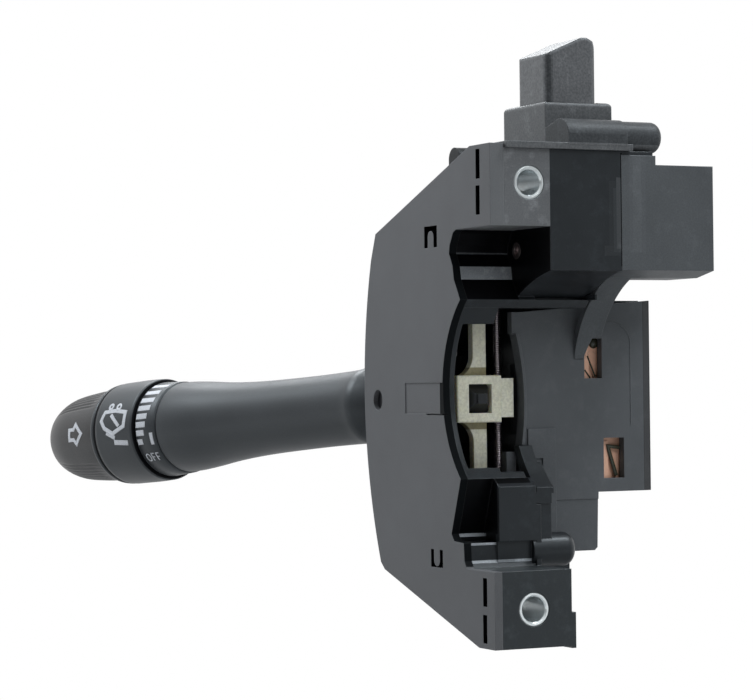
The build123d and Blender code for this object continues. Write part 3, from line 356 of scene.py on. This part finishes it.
# Painted shade: the lower pocket is painted near black
LOWER_POCKET_SHADE = [((-31, -12.2, -38.9), (-17.2, 9, -23.3), RECESS_SHADE_AND_JOINT_BLACK, 0.10)]
# The lower pocket's ledges: their tops are painted shade and their edges are painted highlight lines
LOWER_LEDGE_SHADE_AND_HIGHLIGHTS = [((-25.6, -12.2, -41.4), (-18.3, 9, -38.8), RECESS_SHADE_AND_JOINT_BLACK, 0.12),
               ((-25.6, -12.2, -39.8), (-24, 9, -38.9), LIT_LINE, 0.6),
               ((-18.5, -12.2, -41.9), (-17.2, -1.9, -41.25), LIT_LINE, 0.6),
               ((-18, -12.2, -46.9), (-16.9, 9, -46.1), LIT_LINE, 0.6)]
HARNESS_LUG = [((-29.5, -9.95, 64), (-21.5, -4.4, 76), LUG_GREY, 0.12)]
case_nylon = moulded_plastic("case_nylon", (0.012, 0.014, 0.0165), 0.34, 0.0004, 0.000018, specular=0.4,
                             scuffs=0.9, zones=MOUNTING_BLOCKS + UPPER_POCKET_SHADE_AND_HIGHLIGHTS + LOWER_POCKET_SHADE + STEPPED_PALE_STREAK
                             + LOWER_LEDGE_SHADE_AND_HIGHLIGHTS + HARNESS_LUG + SLOT_SHADE + SNAP_WINDOW_SHADE)
dress("housing", case_nylon)
dress("switch_base", case_nylon)


# Cover: a flat plate of a paler, flatter plastic that closes the case towards the driver.
# Its cut edge is painted near black along the pockets and the channel, as painted shade.
CUT_EDGE_SHADE = ((-32, -12.2, -47.7), (0.5, -9.7, 46.9), (0.004, 0.005, 0.006), 0.06)
UPPER_CORNER = ((-13.6, -12.2, 46.9), (0.5, -7.7, 71), BLOCK_GREY, 0.5)
cover_plastic = moulded_plastic("cover_plastic", (0.122, 0.127, 0.135), 0.58, 0.0003, 0.000015, edge=0.0003,
                                specular=0.2, zones=[CUT_EDGE_SHADE, UPPER_CORNER, *SLOT_SHADE, *SNAP_WINDOW_SHADE])
dress("front_cover", cover_plastic)


# Bushings: bright zinc-plated steel sleeves pressed into the case, one for each mounting screw,
# with fine turning marks. The small screw in the pocket has a duller finish.
MARK_HEIGHT = 3.0


def plated_steel(name, colour, roughness, turned=None, metallic=1.0):
    """Metal with a fine texture and cloudy roughness; turned is the pitch in metres of tool marks across X.

    The marks' height is a sine of X, and the fine texture, a third as high, is added to it.
    """
    made = bpy.data.materials.new(name)
    made.use_nodes = True
    tree = made.node_tree
    skin = tree.nodes["Principled BSDF"]
    skin.inputs["Metallic"].default_value = metallic
    where = tree.nodes.new("ShaderNodeTexCoord").outputs["Object"]
    stretched = shader_node(tree, "ShaderNodeMapping", Vector=where, Scale=(3.0, 1.0, 1.0))
    fine = shader_node(tree, "ShaderNodeTexNoise", Vector=stretched.outputs[0], Scale=900.0, Detail=4.0)
    tint = shader_node(tree, "ShaderNodeMix", i0=fine.outputs["Fac"], i6=(*[c * 0.8 for c in colour], 1),
                       i7=(*colour, 1))
    tint.data_type = "RGBA"
    tree.links.new(tint.outputs[2], skin.inputs["Base Color"])
    shine = shader_node(tree, "ShaderNodeMapRange", Value=fine.outputs["Fac"], To_Min=roughness - 0.08,
                        To_Max=roughness + 0.08)
    tree.links.new(shine.outputs[0], skin.inputs["Roughness"])
    round_edge = shader_node(tree, "ShaderNodeBevel", Radius=0.0002)
    height = fine.outputs["Fac"]
    if turned:
        along = shader_node(tree, "ShaderNodeSeparateXYZ", Vector=where).outputs["X"]
        marks = arithmetic(tree, "SINE", arithmetic(tree, "MULTIPLY", along, 2 * pi / turned))
        height = arithmetic(tree, "ADD", arithmetic(tree, "MULTIPLY", marks, MARK_HEIGHT), height)
    bump = shader_node(tree, "ShaderNodeBump", Strength=0.6, Distance=0.00001, Height=height,
                       Normal=round_edge.outputs[0])
    tree.links.new(bump.outputs[0], skin.inputs["Normal"])
    return made


bright_zinc = plated_steel("bright_zinc", (0.90, 0.97, 0.99), 0.16, turned=0.0007, metallic=0.65)
dress("upper_bushing", bright_zinc)
dress("lower_bushing", bright_zinc)
dress("pocket_screw", plated_steel("dull_zinc", (0.42, 0.36, 0.36), 0.35))


# Terminal board: a plain dark plate with moulded pads, windows and a curved rib. A moulded line
# runs down from the connector's foot.
def flat_stroke(path, width, low, high, place, closed=False):
    """A bar of the given width along a path of (a, b) points in millimetres.

    Each corner is mitred: the side point is the path's point plus the mean normal of its two legs,
    scaled so that both legs keep their width. place(a, b, h) maps to metres, with h from low to high.
    """
    path = np.asarray(path, float)
    if closed:
        path = np.vstack([path, path[:1]])
    legs = np.diff(path, axis=0)
    lengths = np.hypot(legs[:, 0], legs[:, 1])
    normals = np.stack([-legs[:, 1], legs[:, 0]], 1) / lengths[:, None]
    before = np.vstack([normals[-1:] if closed else normals[:1], normals])
    after = np.vstack([normals, normals[:1] if closed else normals[-1:]])
    mitre = (before + after) / (1 + (before * after).sum(1))[:, None]
    corner = np.concatenate([[0], np.cumsum(lengths)])
    along = np.unique(np.concatenate([corner, np.arange(0, corner[-1], 0.5)]))
    centre = np.stack([np.interp(along, corner, path[:, k]) for k in (0, 1)], 1)
    side = np.stack([np.interp(along, corner, mitre[:, k]) for k in (0, 1)], 1) * width / 2
    left, right = centre + side, centre - side
    section = [place(*left.T, low), place(*right.T, low), place(*right.T, high), place(*left.T, high)]
    return grid(np.stack(section, 1), close_v=True, caps=True)


def on_board(y, z, h):
    """A point h millimetres in front of the board's face."""
    return np.stack([board_x + h * MM + 0 * y, y * MM, z * MM], -1)


BOARD_END = ((-40, 53.8, -30), (0, 60, 30), (0.05, 0.052, 0.055), 0.15)
board_plastic = moulded_plastic("board_plastic", (0.074, 0.080, 0.087), 0.52, 0.00025, 0.000012, edge=0.00025,
                                mottle=0.15, scuffs=0.25, zones=[BOARD_END])
dress("terminal_board", board_plastic)
dress("stop_pin", board_plastic)
CONTACT_DEPTH = 0.0029
LINE_TOP = (42.4, 21.1)
LINE_BEND = (7.1, 6.2)
LINE_END = -9.0
LINE_WIDTH, LINE_ROOT, LINE_HEIGHT = 0.35, -0.1, 0.12
board_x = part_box("turn_contact")[1].x + CONTACT_DEPTH
curve = [(LINE_TOP[0] + LINE_BEND[0] * sin(t), LINE_TOP[1] - LINE_BEND[1] * (1 - cos(t)))
         for t in np.linspace(0, pi / 2, 9)]
score = curve + [(LINE_TOP[0] + LINE_BEND[0], LINE_END)]
line_bar = flat_stroke(score, LINE_WIDTH, LINE_ROOT, LINE_HEIGHT, on_board)
board_line = piece("board_line", [line_bar], board_plastic, smooth=False)
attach(board_line, "case")


# Contacts: bright copper strips with dark switching grease, seen through the board's windows.
# A bead of grease, two thin leads and a bent spring arm lie on them.
def copper_strip():
    """Bright copper with cloudy streaks of brown switching grease across it."""
    brown = (0.36, 0.22, 0.15)
    made = plated_steel("contact_copper", (1.0, 0.60, 0.43), 0.35, metallic=0.08)
    tree = made.node_tree
    skin = tree.nodes["Principled BSDF"]
    where = tree.nodes.new("ShaderNodeTexCoord").outputs["Object"]
    smear = shader_node(tree, "ShaderNodeTexNoise", Vector=where, Scale=260.0, Detail=4.0)
    amount = shader_node(tree, "ShaderNodeMapRange", Value=smear.outputs["Fac"], From_Min=0.61, From_Max=0.70)
    clean = skin.inputs["Base Color"].links[0].from_socket
    tree.links.new(colour_mix(tree, amount.outputs[0], clean, brown), skin.inputs["Base Color"])
    return made


copper = copper_strip()
dress("turn_contact", copper)
dress("beam_contact", copper)
grease = moulded_plastic("switching_grease", (0.045, 0.045, 0.028), 0.25, 0.0006, 0.00002)
contact_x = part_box("turn_contact")[1].x / MM
BEAD_SINK = 0.8
BEAD_FLATNESS = 0.7


def bead(y, z, r):
    """Half a ball of radius r about (y, z) in millimetres, flattened, and sunk into the contact's face."""
    lift, round_ = np.meshgrid(np.linspace(0.02, pi / 2, 8), np.linspace(0, 2 * pi, 20, endpoint=False),
                               indexing="ij")
    out = r * np.sin(lift)
    return grid(np.stack([contact_x - BEAD_SINK + BEAD_FLATNESS * r * np.cos(lift), y + out * np.cos(round_),
                          z + out * np.sin(round_)], -1) * MM, close_v=True)


CONTACT_FLOOR = -3.0
LEAD_WIDTH, LEAD_TOP = 0.45, -2.8
ARM_WIDTH, ARM_TOP = 0.95, -2.3
LEAD_PATHS = (((36.58, 11.22), (39.21, 5.04)), ((35.65, 7.13), (37.51, 4.76)))
ARM_PATH = ((48.4, -16.0), (43.1, -15.3), (43.3, -16.4), (45.81, -24.0))
leads = [flat_stroke(path, LEAD_WIDTH, CONTACT_FLOOR, LEAD_TOP, on_board) for path in LEAD_PATHS]
arm = flat_stroke(ARM_PATH, ARM_WIDTH, CONTACT_FLOOR, ARM_TOP, on_board)
switching = piece("contact_grease_and_arms", [bead(39.15, 15.0, 1.6), *leads, arm], grease)
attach(switching, "case")


# Connectors: shrouds behind the case for the two wiring plugs, with rows of tinned blades.
# The upper one's foot narrows to a tip beside the board's window, a small web ends the groove
# above the shelf, and a rib closes the joint below the hazard switch's flange.
def prism(outline, x0, x1):
    """An outline of (y, z) points, clockwise from +X, carried from x0 to x1; all in millimetres."""
    return grid(np.array([[(x, y, z) for y, z in outline] for x in (x0, x1)]) * MM, close_v=True, caps=True)


def carved(name, node, cut, material):
    """A copy of a CAD node's mesh with a prism cut away."""
    shell = bmesh.new()
    shell.from_mesh(frame["nodes"][node].data)
    bmesh.ops.remove_doubles(shell, verts=shell.verts, dist=1e-7)
    mesh = bpy.data.meshes.new(name)
    shell.to_mesh(mesh)
    shell.free()
    mesh.materials.append(material)
    made = bpy.data.objects.new(name, mesh)
    scene.collection.objects.link(made)
    tool = piece(name + "_tool", [cut], material, smooth=False)
    knife = made.modifiers.new("cut", "BOOLEAN")
    knife.object = tool
    finished = bpy.data.meshes.new_from_object(made.evaluated_get(bpy.context.evaluated_depsgraph_get()))
    made.modifiers.clear()
    made.data = finished
    bpy.data.objects.remove(tool)
    return made


PALE_BAND = [((-0.6, 32.2, 40), (0.5, 37.6, 68), (0.068, 0.074, 0.081), 0.5),
             ((-0.6, 33.4, 40), (0.5, 36.2, 68), (0.076, 0.083, 0.090), 0.5)]
connector_nylon = moulded_plastic("connector_nylon", (0.062, 0.068, 0.074), 0.50, 0.0005, 0.00002, scuffs=0.3,
                                  zones=PALE_BAND)
BESIDE_TIP = ((33.4, 9.0), (33.4, 10.2), (34.6, 14.2), (35.4, 16.6), (39.5, 17.4), (39.5, 9.0))
GROOVE_WEB = ((28.9, 27.0), (28.9, 28.6), (29.65, 28.6), (29.65, 27.0))
SHROUD_RIB = ((29.3, 67.3), (29.3, 68.5), (40.3, 68.5), (40.3, 67.3))
upper_shroud = carved("upper_shroud", "upper_connector", prism(BESIDE_TIP, -32, -15), connector_nylon)
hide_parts("upper_connector")
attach(upper_shroud, "case")
dress("lower_connector", connector_nylon)
groove_end = piece("groove_end", [prism(GROOVE_WEB, -22, -14)], case_nylon, smooth=False)
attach(groove_end, "case")
top_rib = piece("top_rib", [prism(SHROUD_RIB, -22, -0.4)], case_nylon, smooth=False)
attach(top_rib, "case")
tinned = plated_steel("tinned_blade", (0.78, 0.74, 0.62), 0.25)
dress("upper_terminals", tinned)
dress("lower_terminals", tinned)


# Lever carrier: the greased black frame that the stalk rocks in, and its running pieces. Two of
# its pins are zinc-plated steel.
carrier_plastic = moulded_plastic("carrier_plastic", (0.012, 0.012, 0.014), 0.30, 0.0006, 0.00001)
for node in ("lever_carrier", "stalk_core", "core_plug", "front_pivot_pin", "detent_plunger", "detent_track"):
    dress(node, carrier_plastic)
zinc = plated_steel("zinc_plate", (0.86, 0.90, 0.92), 0.28)
for node in ("rear_pivot_pin", "beam_pivot_pin"):
    dress(node, zinc)


# Nylon pieces: the cancel pawl with its two arms, and the slider, in natural nylon that light
# sinks into.
def natural_nylon():
    """Off-white nylon, amber at the roots of the pawl's arms; light spreads a little under the skin."""
    amber = (0.30, 0.27, 0.15)
    arm_roots = [((-60, -20, 5.95), (0, 20, 8.2), amber, 0.5), ((-60, -20, -9.6), (0, 20, -7.65), amber, 0.5)]
    made = moulded_plastic("natural_nylon", (0.73, 0.73, 0.60), 0.38, 0.0008, 0.000012, wear_and_sheen=0.1,
                           mottle=0.2, zones=arm_roots)
    skin = made.node_tree.nodes["Principled BSDF"]
    skin.inputs["Subsurface Weight"].default_value = 0.35
    skin.inputs["Subsurface Radius"].default_value = (0.0025, 0.002, 0.001)
    skin.inputs["Subsurface Scale"].default_value = 1.0
    return made


nylon = natural_nylon()
for node in ("cancel_pawl", "turn_slider"):
    dress(node, nylon)


# Springs: oiled steel wire. The cancel spring stands open in the window, so it is wound turn by
# turn; the others are hidden in their pieces.
spring_steel = plated_steel("spring_steel", (0.72, 0.66, 0.70), 0.30)
for node in ("detent_spring", "washer_spring", "hazard_spring"):
    dress(node, spring_steel)


STEPS_PER_TURN = 14
WIRE_SIDES = 7


def coil(low, high, x, y, outer, wire, pitch):
    """A tube of wire radius carried along an upright helix: centre (R cos t, R sin t, pitch t / 2 pi)."""
    radius = outer - wire
    turns = (high - low - 2 * wire) / pitch
    along = np.linspace(0, 2 * pi * turns, int(turns * STEPS_PER_TURN))[:, None]
    across = np.linspace(0, 2 * pi, WIRE_SIDES, endpoint=False)[None, :]
    out = radius + wire * np.cos(across)
    return grid(np.stack([x + out * np.cos(along), y + out * np.sin(along),
                          low + wire + pitch * along / (2 * pi) + wire * np.sin(across)], -1),
                close_v=True, caps=True)


WIRE_RADIUS = 0.00022
WIRE_PITCH = 0.00056
low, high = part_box("cancel_spring")
winding = coil(low.z, high.z, (low.x + high.x) / 2, (low.y + high.y) / 2, (high.x - low.x) / 2, WIRE_RADIUS,
               WIRE_PITCH)
cancel_spring = piece("cancel_spring_wire", [winding], spring_steel)
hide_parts("cancel_spring")
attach(cancel_spring, "case")


# Stalk: a satin moulding that swells from the neck at the case to the knob end. It is turned
# about the knob's own axis, which leans to the driver and droops a little.
knob_joint = next(j for j in frame["joints"] if j["name"] == "knob_turn")
PIVOT = np.array(knob_joint["pos_m"])
AXIS = np.array(knob_joint["axis"]) / np.linalg.norm(knob_joint["axis"])
FACING = np.cross((0, 0, 1.0), AXIS)
FACING /= np.linalg.norm(FACING)
UPWARD = np.cross(AXIS, FACING)


def span(node):
    """How far along the stalk a CAD node starts and ends, in millimetres."""
    points = np.array([v.co for v in frame["nodes"][node].data.vertices]) - PIVOT
    along = points @ AXIS / MM
    return along.min(), along.max()


def smooth_line(points, count):
    """Points along a Catmull-Rom curve through the given (radius, distance) points."""
    given = np.array(points, float)
    ends = np.vstack([2 * given[0] - given[1], given, 2 * given[-1] - given[-2]])
    t = np.linspace(0, len(given) - 1, count)
    i = np.minimum(t.astype(int), len(given) - 2)
    f = (t - i)[:, None]
    a, b, c, d = ends[i], ends[i + 1], ends[i + 2], ends[i + 3]
    square = (2 * a - 5 * b + 4 * c - d) * f ** 2
    cube = (3 * b - a - 3 * c + d) * f ** 3
    return 0.5 * (2 * b + (c - a) * f + square + cube)


def stalk_point(angle, radius, distance):
    """Angle 0 faces the driver, 90 degrees is up; radius and distance are in millimetres."""
    side = np.cos(angle)[..., None] * FACING + np.sin(angle)[..., None] * UPWARD
    return PIVOT + (radius[..., None] * side + distance[..., None] * AXIS) * MM


def turned_grid(profile, ripple=None, steps=160):
    """A profile of (radius, distance) carried round the stalk's axis; ripple adds to the radius."""
    profile = np.asarray(profile, float)
    angle = np.linspace(0, 2 * pi, steps, endpoint=False)[None, :]
    radius = profile[:, :1] + 0 * angle
    distance = profile[:, 1:] + 0 * angle
    if ripple is not None:
        radius = radius + ripple(angle, distance)
    return grid(stalk_point(angle + 0 * radius, radius, distance), close_v=True, flip=True)


shaft_start, shaft_end = 4.0, span("tick_band")[0]
neck, waist, flare = 7.0, 11.3, 14.7
hub_half = 8.6
stalk_plastic = moulded_plastic("stalk_plastic", (0.030, 0.033, 0.037), 0.44, 0.00035, 0.000012, wear_and_sheen=0.1)
body_line = smooth_line([(neck, 12.5), (neck + 0.5, 15.2), (waist - 0.6, 21.0), (waist + 0.4, 24.0),
                         (waist + 0.1, 29.0), (waist, 45.0), (waist + 0.4, 68.0), (waist + 1.3, 84.0),
                         (flare - 0.7, 97.0), (flare - 0.1, 104.0), (flare, shaft_end - 0.6)], 90)
shaft_line = np.vstack([[(0.01, shaft_start), (neck, shaft_start)], body_line,
                        [(flare - 0.3, shaft_end - 0.1), (6.5, shaft_end - 0.1)]])
hub_turn, hub_rise = np.meshgrid(np.linspace(0, 2 * pi, 48, endpoint=False), (-1, 1), indexing="ij")
hub = grid(PIVOT + np.stack([neck * np.cos(hub_turn), neck * np.sin(hub_turn), hub_half * hub_rise], -1) * MM,
           close_u=True)
shaft = piece("stalk_body", [turned_grid(shaft_line), hub], stalk_plastic)
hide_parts("stalk_shaft")
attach(shaft, "stalk")


# Band: the fixed ring that the knob is read against. White marks are printed on it: eight bars
# for the wiper's delay, a dash, and the word for off.
band_start, band_end = span("tick_band")
band_low, band_high = flare + 0.4, flare + 0.9
band_profile = np.array([(6.5, band_start), (band_low - 0.35, band_start), (band_low, band_start + 0.4),
                         (band_high, band_end - 0.4), (band_high - 0.3, band_end), (6.5, band_end)])
band = piece("stalk_band", [turned_grid(band_profile)], stalk_plastic)
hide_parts("tick_band")
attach(band, "stalk")
mark_paint = moulded_plastic("mark_paint", (0.60, 0.63, 0.68), 0.5, 0.0003, 0.000004, wear_and_sheen=0.0, mottle=0.08)
PAINT, PAINT_ROOT = 0.05, -0.05
BAR_WIDTH, BAR_END = 1.9, 117.3
LETTER_STROKE = 0.45


def on_stalk(radius_at):
    """Places (angle in degrees times the nominal radius, distance) marks on a turned surface.

    The first coordinate is an arc length in millimetres, counted up from the side facing the driver.
    """
    def place(arc, distance, lift):
        radius = radius_at(distance)
        return stalk_point(arc / radius, radius + lift, distance)
    return place


on_band = on_stalk(lambda d: np.interp(d, band_profile[2:-1, 1], band_profile[2:-1, 0]))


def band_mark(points, width, closed=False):
    """Points are (degrees up, distance)."""
    path = [(radians(angle) * (band_low + band_high) / 2, d) for angle, d in points]
    return flat_stroke(path, width, PAINT_ROOT, PAINT, on_band, closed)


bar_angles = (-4.3, 5.9, 16.2, 26.9, 38.1, 50.8, 65.1)
bar_starts = (113.8, 113.1, 112.6, 111.8, 111.4, 111.0, 110.5)
marks = [band_mark(((angle, start), (angle, BAR_END)), BAR_WIDTH)
         for angle, start in zip(bar_angles, bar_starts)]
marks += [band_mark(((-15.3, 114.9), (-15.3, BAR_END)), BAR_WIDTH),
          band_mark(((-5.0, 110.7), (-20.0, 110.7)), 1.5)]
letter_o = [(-37 + 5.2 * cos(t), 115.2 + 0.85 * sin(t)) for t in np.linspace(0, 2 * pi, 16, endpoint=False)]
letters = [band_mark(letter_o, LETTER_STROKE, closed=True)]
for middle in (112.9, 110.8):
    letters += [band_mark(((-42.5, middle + 0.6), (-31.5, middle + 0.6)), LETTER_STROKE),
                band_mark(((-31.5, middle + 0.7), (-31.5, middle - 0.7)), LETTER_STROKE),
                band_mark(((-36.5, middle + 0.6), (-36.5, middle - 0.5)), LETTER_STROKE)]
band_print = piece("band_marks", marks + letters, mark_paint, smooth=False)
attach(band_print, "stalk")


# Knob: the ring that turns for the wipers, with a narrow end ring. A windscreen with its wiper,
# two drops of spray and a pointer are printed on it.
knob_start, knob_end = span("wiper_knob")
knob_r, lip_r = 17.0, 15.8
SIDE_STEPS = 40
knob_line = np.vstack([
    [(6.5, knob_start), (knob_r - 0.6, knob_start)],
    smooth_line([(knob_r - 0.2, knob_start + 0.4), (knob_r - 0.03, knob_start + 5), (knob_r, knob_start + 10),
                 (knob_r - 0.03, knob_end - 4)], SIDE_STEPS),
    [(knob_r - 0.1, knob_end - 3.1), (knob_r - 0.9, knob_end - 3.0), (knob_r - 0.9, knob_end - 2.05),
     (knob_r - 0.15, knob_end - 1.9), (knob_r - 0.35, knob_end - 0.3), (knob_r - 0.7, knob_end),
     (lip_r, knob_end), (lip_r, knob_end - 5)]])
knob = piece("knob_body", [turned_grid(knob_line)], stalk_plastic)
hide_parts("wiper_knob")
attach(knob, "knob")
# Painted shade: black rings fill the shaded gap between the knob and the band, and the groove of the end ring
shade_ring_black = moulded_plastic("shade_ring_black", (0.004, 0.004, 0.005), 0.7, 0.0003, 0.00001, specular=0.1)
shade_ring_sizes = ((14.2, knob_r - 0.55, knob_start - 0.2, knob_start + 0.2),
              (15.9, knob_r - 0.17, knob_end - 3.05, knob_end - 2.0))
shade_ring_lines = [[(inner, start), (outer, start), (outer, end), (inner, end)]
              for inner, outer, start, end in shade_ring_sizes]
shade_ring_piece = piece("knob_shade_rings", [turned_grid(line + line[:1]) for line in shade_ring_lines], shade_ring_black, smooth=False)
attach(shade_ring_piece, "knob")
knob_side = knob_line[2:2 + SIDE_STEPS]
on_knob = on_stalk(lambda d: np.interp(d, knob_side[:, 1], knob_side[:, 0]))


def knob_mark(points, width, closed=False):
    """Points are (degrees up, distance)."""
    path = [(radians(angle) * knob_r, d) for angle, d in points]
    return flat_stroke(path, width, PAINT_ROOT, PAINT, on_knob, closed)


def drop(angle, distance, r):
    """A small ring of radius r on the knob."""
    turn = np.linspace(0, 2 * pi, 14, endpoint=False)
    return knob_mark([(angle + np.degrees(r * cos(t) / knob_r), distance + r * sin(t)) for t in turn], 0.85,
                     closed=True)


screen = ((14.2, 133.4), (24.1, 132.1), (24.6, 126.8), (21.6, 121.7), (5.7, 122.0), (-1.5, 127.5),
          (5.5, 131.6))
knob_print = piece("knob_marks", [
    knob_mark(screen, 1.4, closed=True), knob_mark(((20.2, 128.8), (6.3, 124.4)), 1.3),
    knob_mark(((0.2, 130.6), (-6.4, 126.5)), 1.4), knob_mark(((-11.3, 127.2), (-13.4, 120.6)), 1.7),
    drop(30.3, 129.7, 0.9), drop(29.1, 125.7, 0.9)], mark_paint, smooth=False)
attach(knob_print, "knob")


# Washer button: the rounded end of the stalk, with fine ribs along its upper and lower sides
# for the thumb and a hollow arrow printed towards the driver.
RIB_DEPTH = 0.35
RIBS_PER_TURN = 60


def thumb_ribs(angle, distance):
    """Ribs every 6 degrees at 38 to 80 degrees up or down, fading out towards both ends."""
    up = np.abs(np.degrees((angle + pi) % (2 * pi) - pi))
    zone = np.clip((up - 36) / 4, 0, 1) * np.clip((82 - up) / 4, 0, 1)
    ends = np.clip((distance - cap_start - 3) / 4, 0, 1) * np.clip((cap_end - 6 - distance) / 5, 0, 1)
    return -RIB_DEPTH * zone * ends * (0.5 - 0.5 * np.cos(np.radians(up) * RIBS_PER_TURN))


CAP_LENGTH = 33.5
cap_end = span("washer_button")[1]
cap_start = cap_end - CAP_LENGTH
cap_r = 15.3
cap_line = np.vstack([
    [(12.8, cap_start), (cap_r - 0.3, cap_start)],
    smooth_line([(cap_r, cap_start + 0.4), (cap_r, cap_start + 6), (cap_r - 0.3, cap_start + 12),
                 (cap_r - 1.3, cap_start + 21), (cap_r - 3.6, cap_start + 27.6),
                 (cap_r - 6.6, cap_start + 31.2), (cap_r - 10.5, cap_end - 0.6),
                 (0.01, cap_end - 0.05)], 120)])
button_plastic = moulded_plastic("button_plastic", (0.050, 0.047, 0.047), 0.40, 0.00045, 0.00003, wear_and_sheen=0.1)
cap = piece("washer_cap", [turned_grid(cap_line, thumb_ribs, steps=480)], button_plastic)
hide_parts("washer_button")
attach(cap, "washer")
on_cap = on_stalk(lambda d: np.interp(d, cap_line[2:, 1], cap_line[2:, 0]))
ARROW_UP, ARROW_DISTANCE = 3.5, 149.1
arrow = [(radians(ARROW_UP) * cap_r + up, ARROW_DISTANCE + out) for out, up in
         ((3.3, 1.6), (0.9, 1.6), (0, 3.3), (-3.3, 0), (-0.4, -3.3), (0.9, -1.8), (3.3, -1.8))]
cap_print = piece("cap_arrow", [flat_stroke(arrow, 1.25, PAINT_ROOT, PAINT, on_cap, closed=True)], mark_paint,
                  smooth=False)
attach(cap_print, "washer")


# Hazard switch: flange, skirt and guide bar moulded in one, and the upright button. Both are
# coarse spark-eroded plastic; the bar and bands along the button's upright edges are painted
# darker, as painted shade.
SHADED_GUIDE_BAR = ((-11.7, 0, 70.4), (5, 45, 82), (0.042, 0.046, 0.050), 0.25)
BUTTON_EDGE_SHADE = [((-13.6, 12.9, 75), (-12, 15.2, 96.4), (0.074, 0.078, 0.083), 0.3),
                ((-13.2, 12.9, 75), (-12, 14.6, 96.2), (0.052, 0.056, 0.060), 0.25),
                ((-13.5, 28.6, 75), (-12, 29.8, 98.0), (0.045, 0.048, 0.052), 0.2)]
hazard_plastic = moulded_plastic("hazard_plastic", (0.090, 0.095, 0.100), 0.45, 0.0006, 0.00005, specular=0.4,
                                 speckle=0.25, scuffs=0.6, zones=[SHADED_GUIDE_BAR])
dress("hazard_base", hazard_plastic)
hazard_button_plastic = moulded_plastic("hazard_button_plastic", (0.098, 0.102, 0.108), 0.34, 0.0007, 0.00006,
                                        edge=0.0014, speckle=0.25, scuffs=0.5, zones=BUTTON_EDGE_SHADE)
dress("hazard_button", hazard_button_plastic)
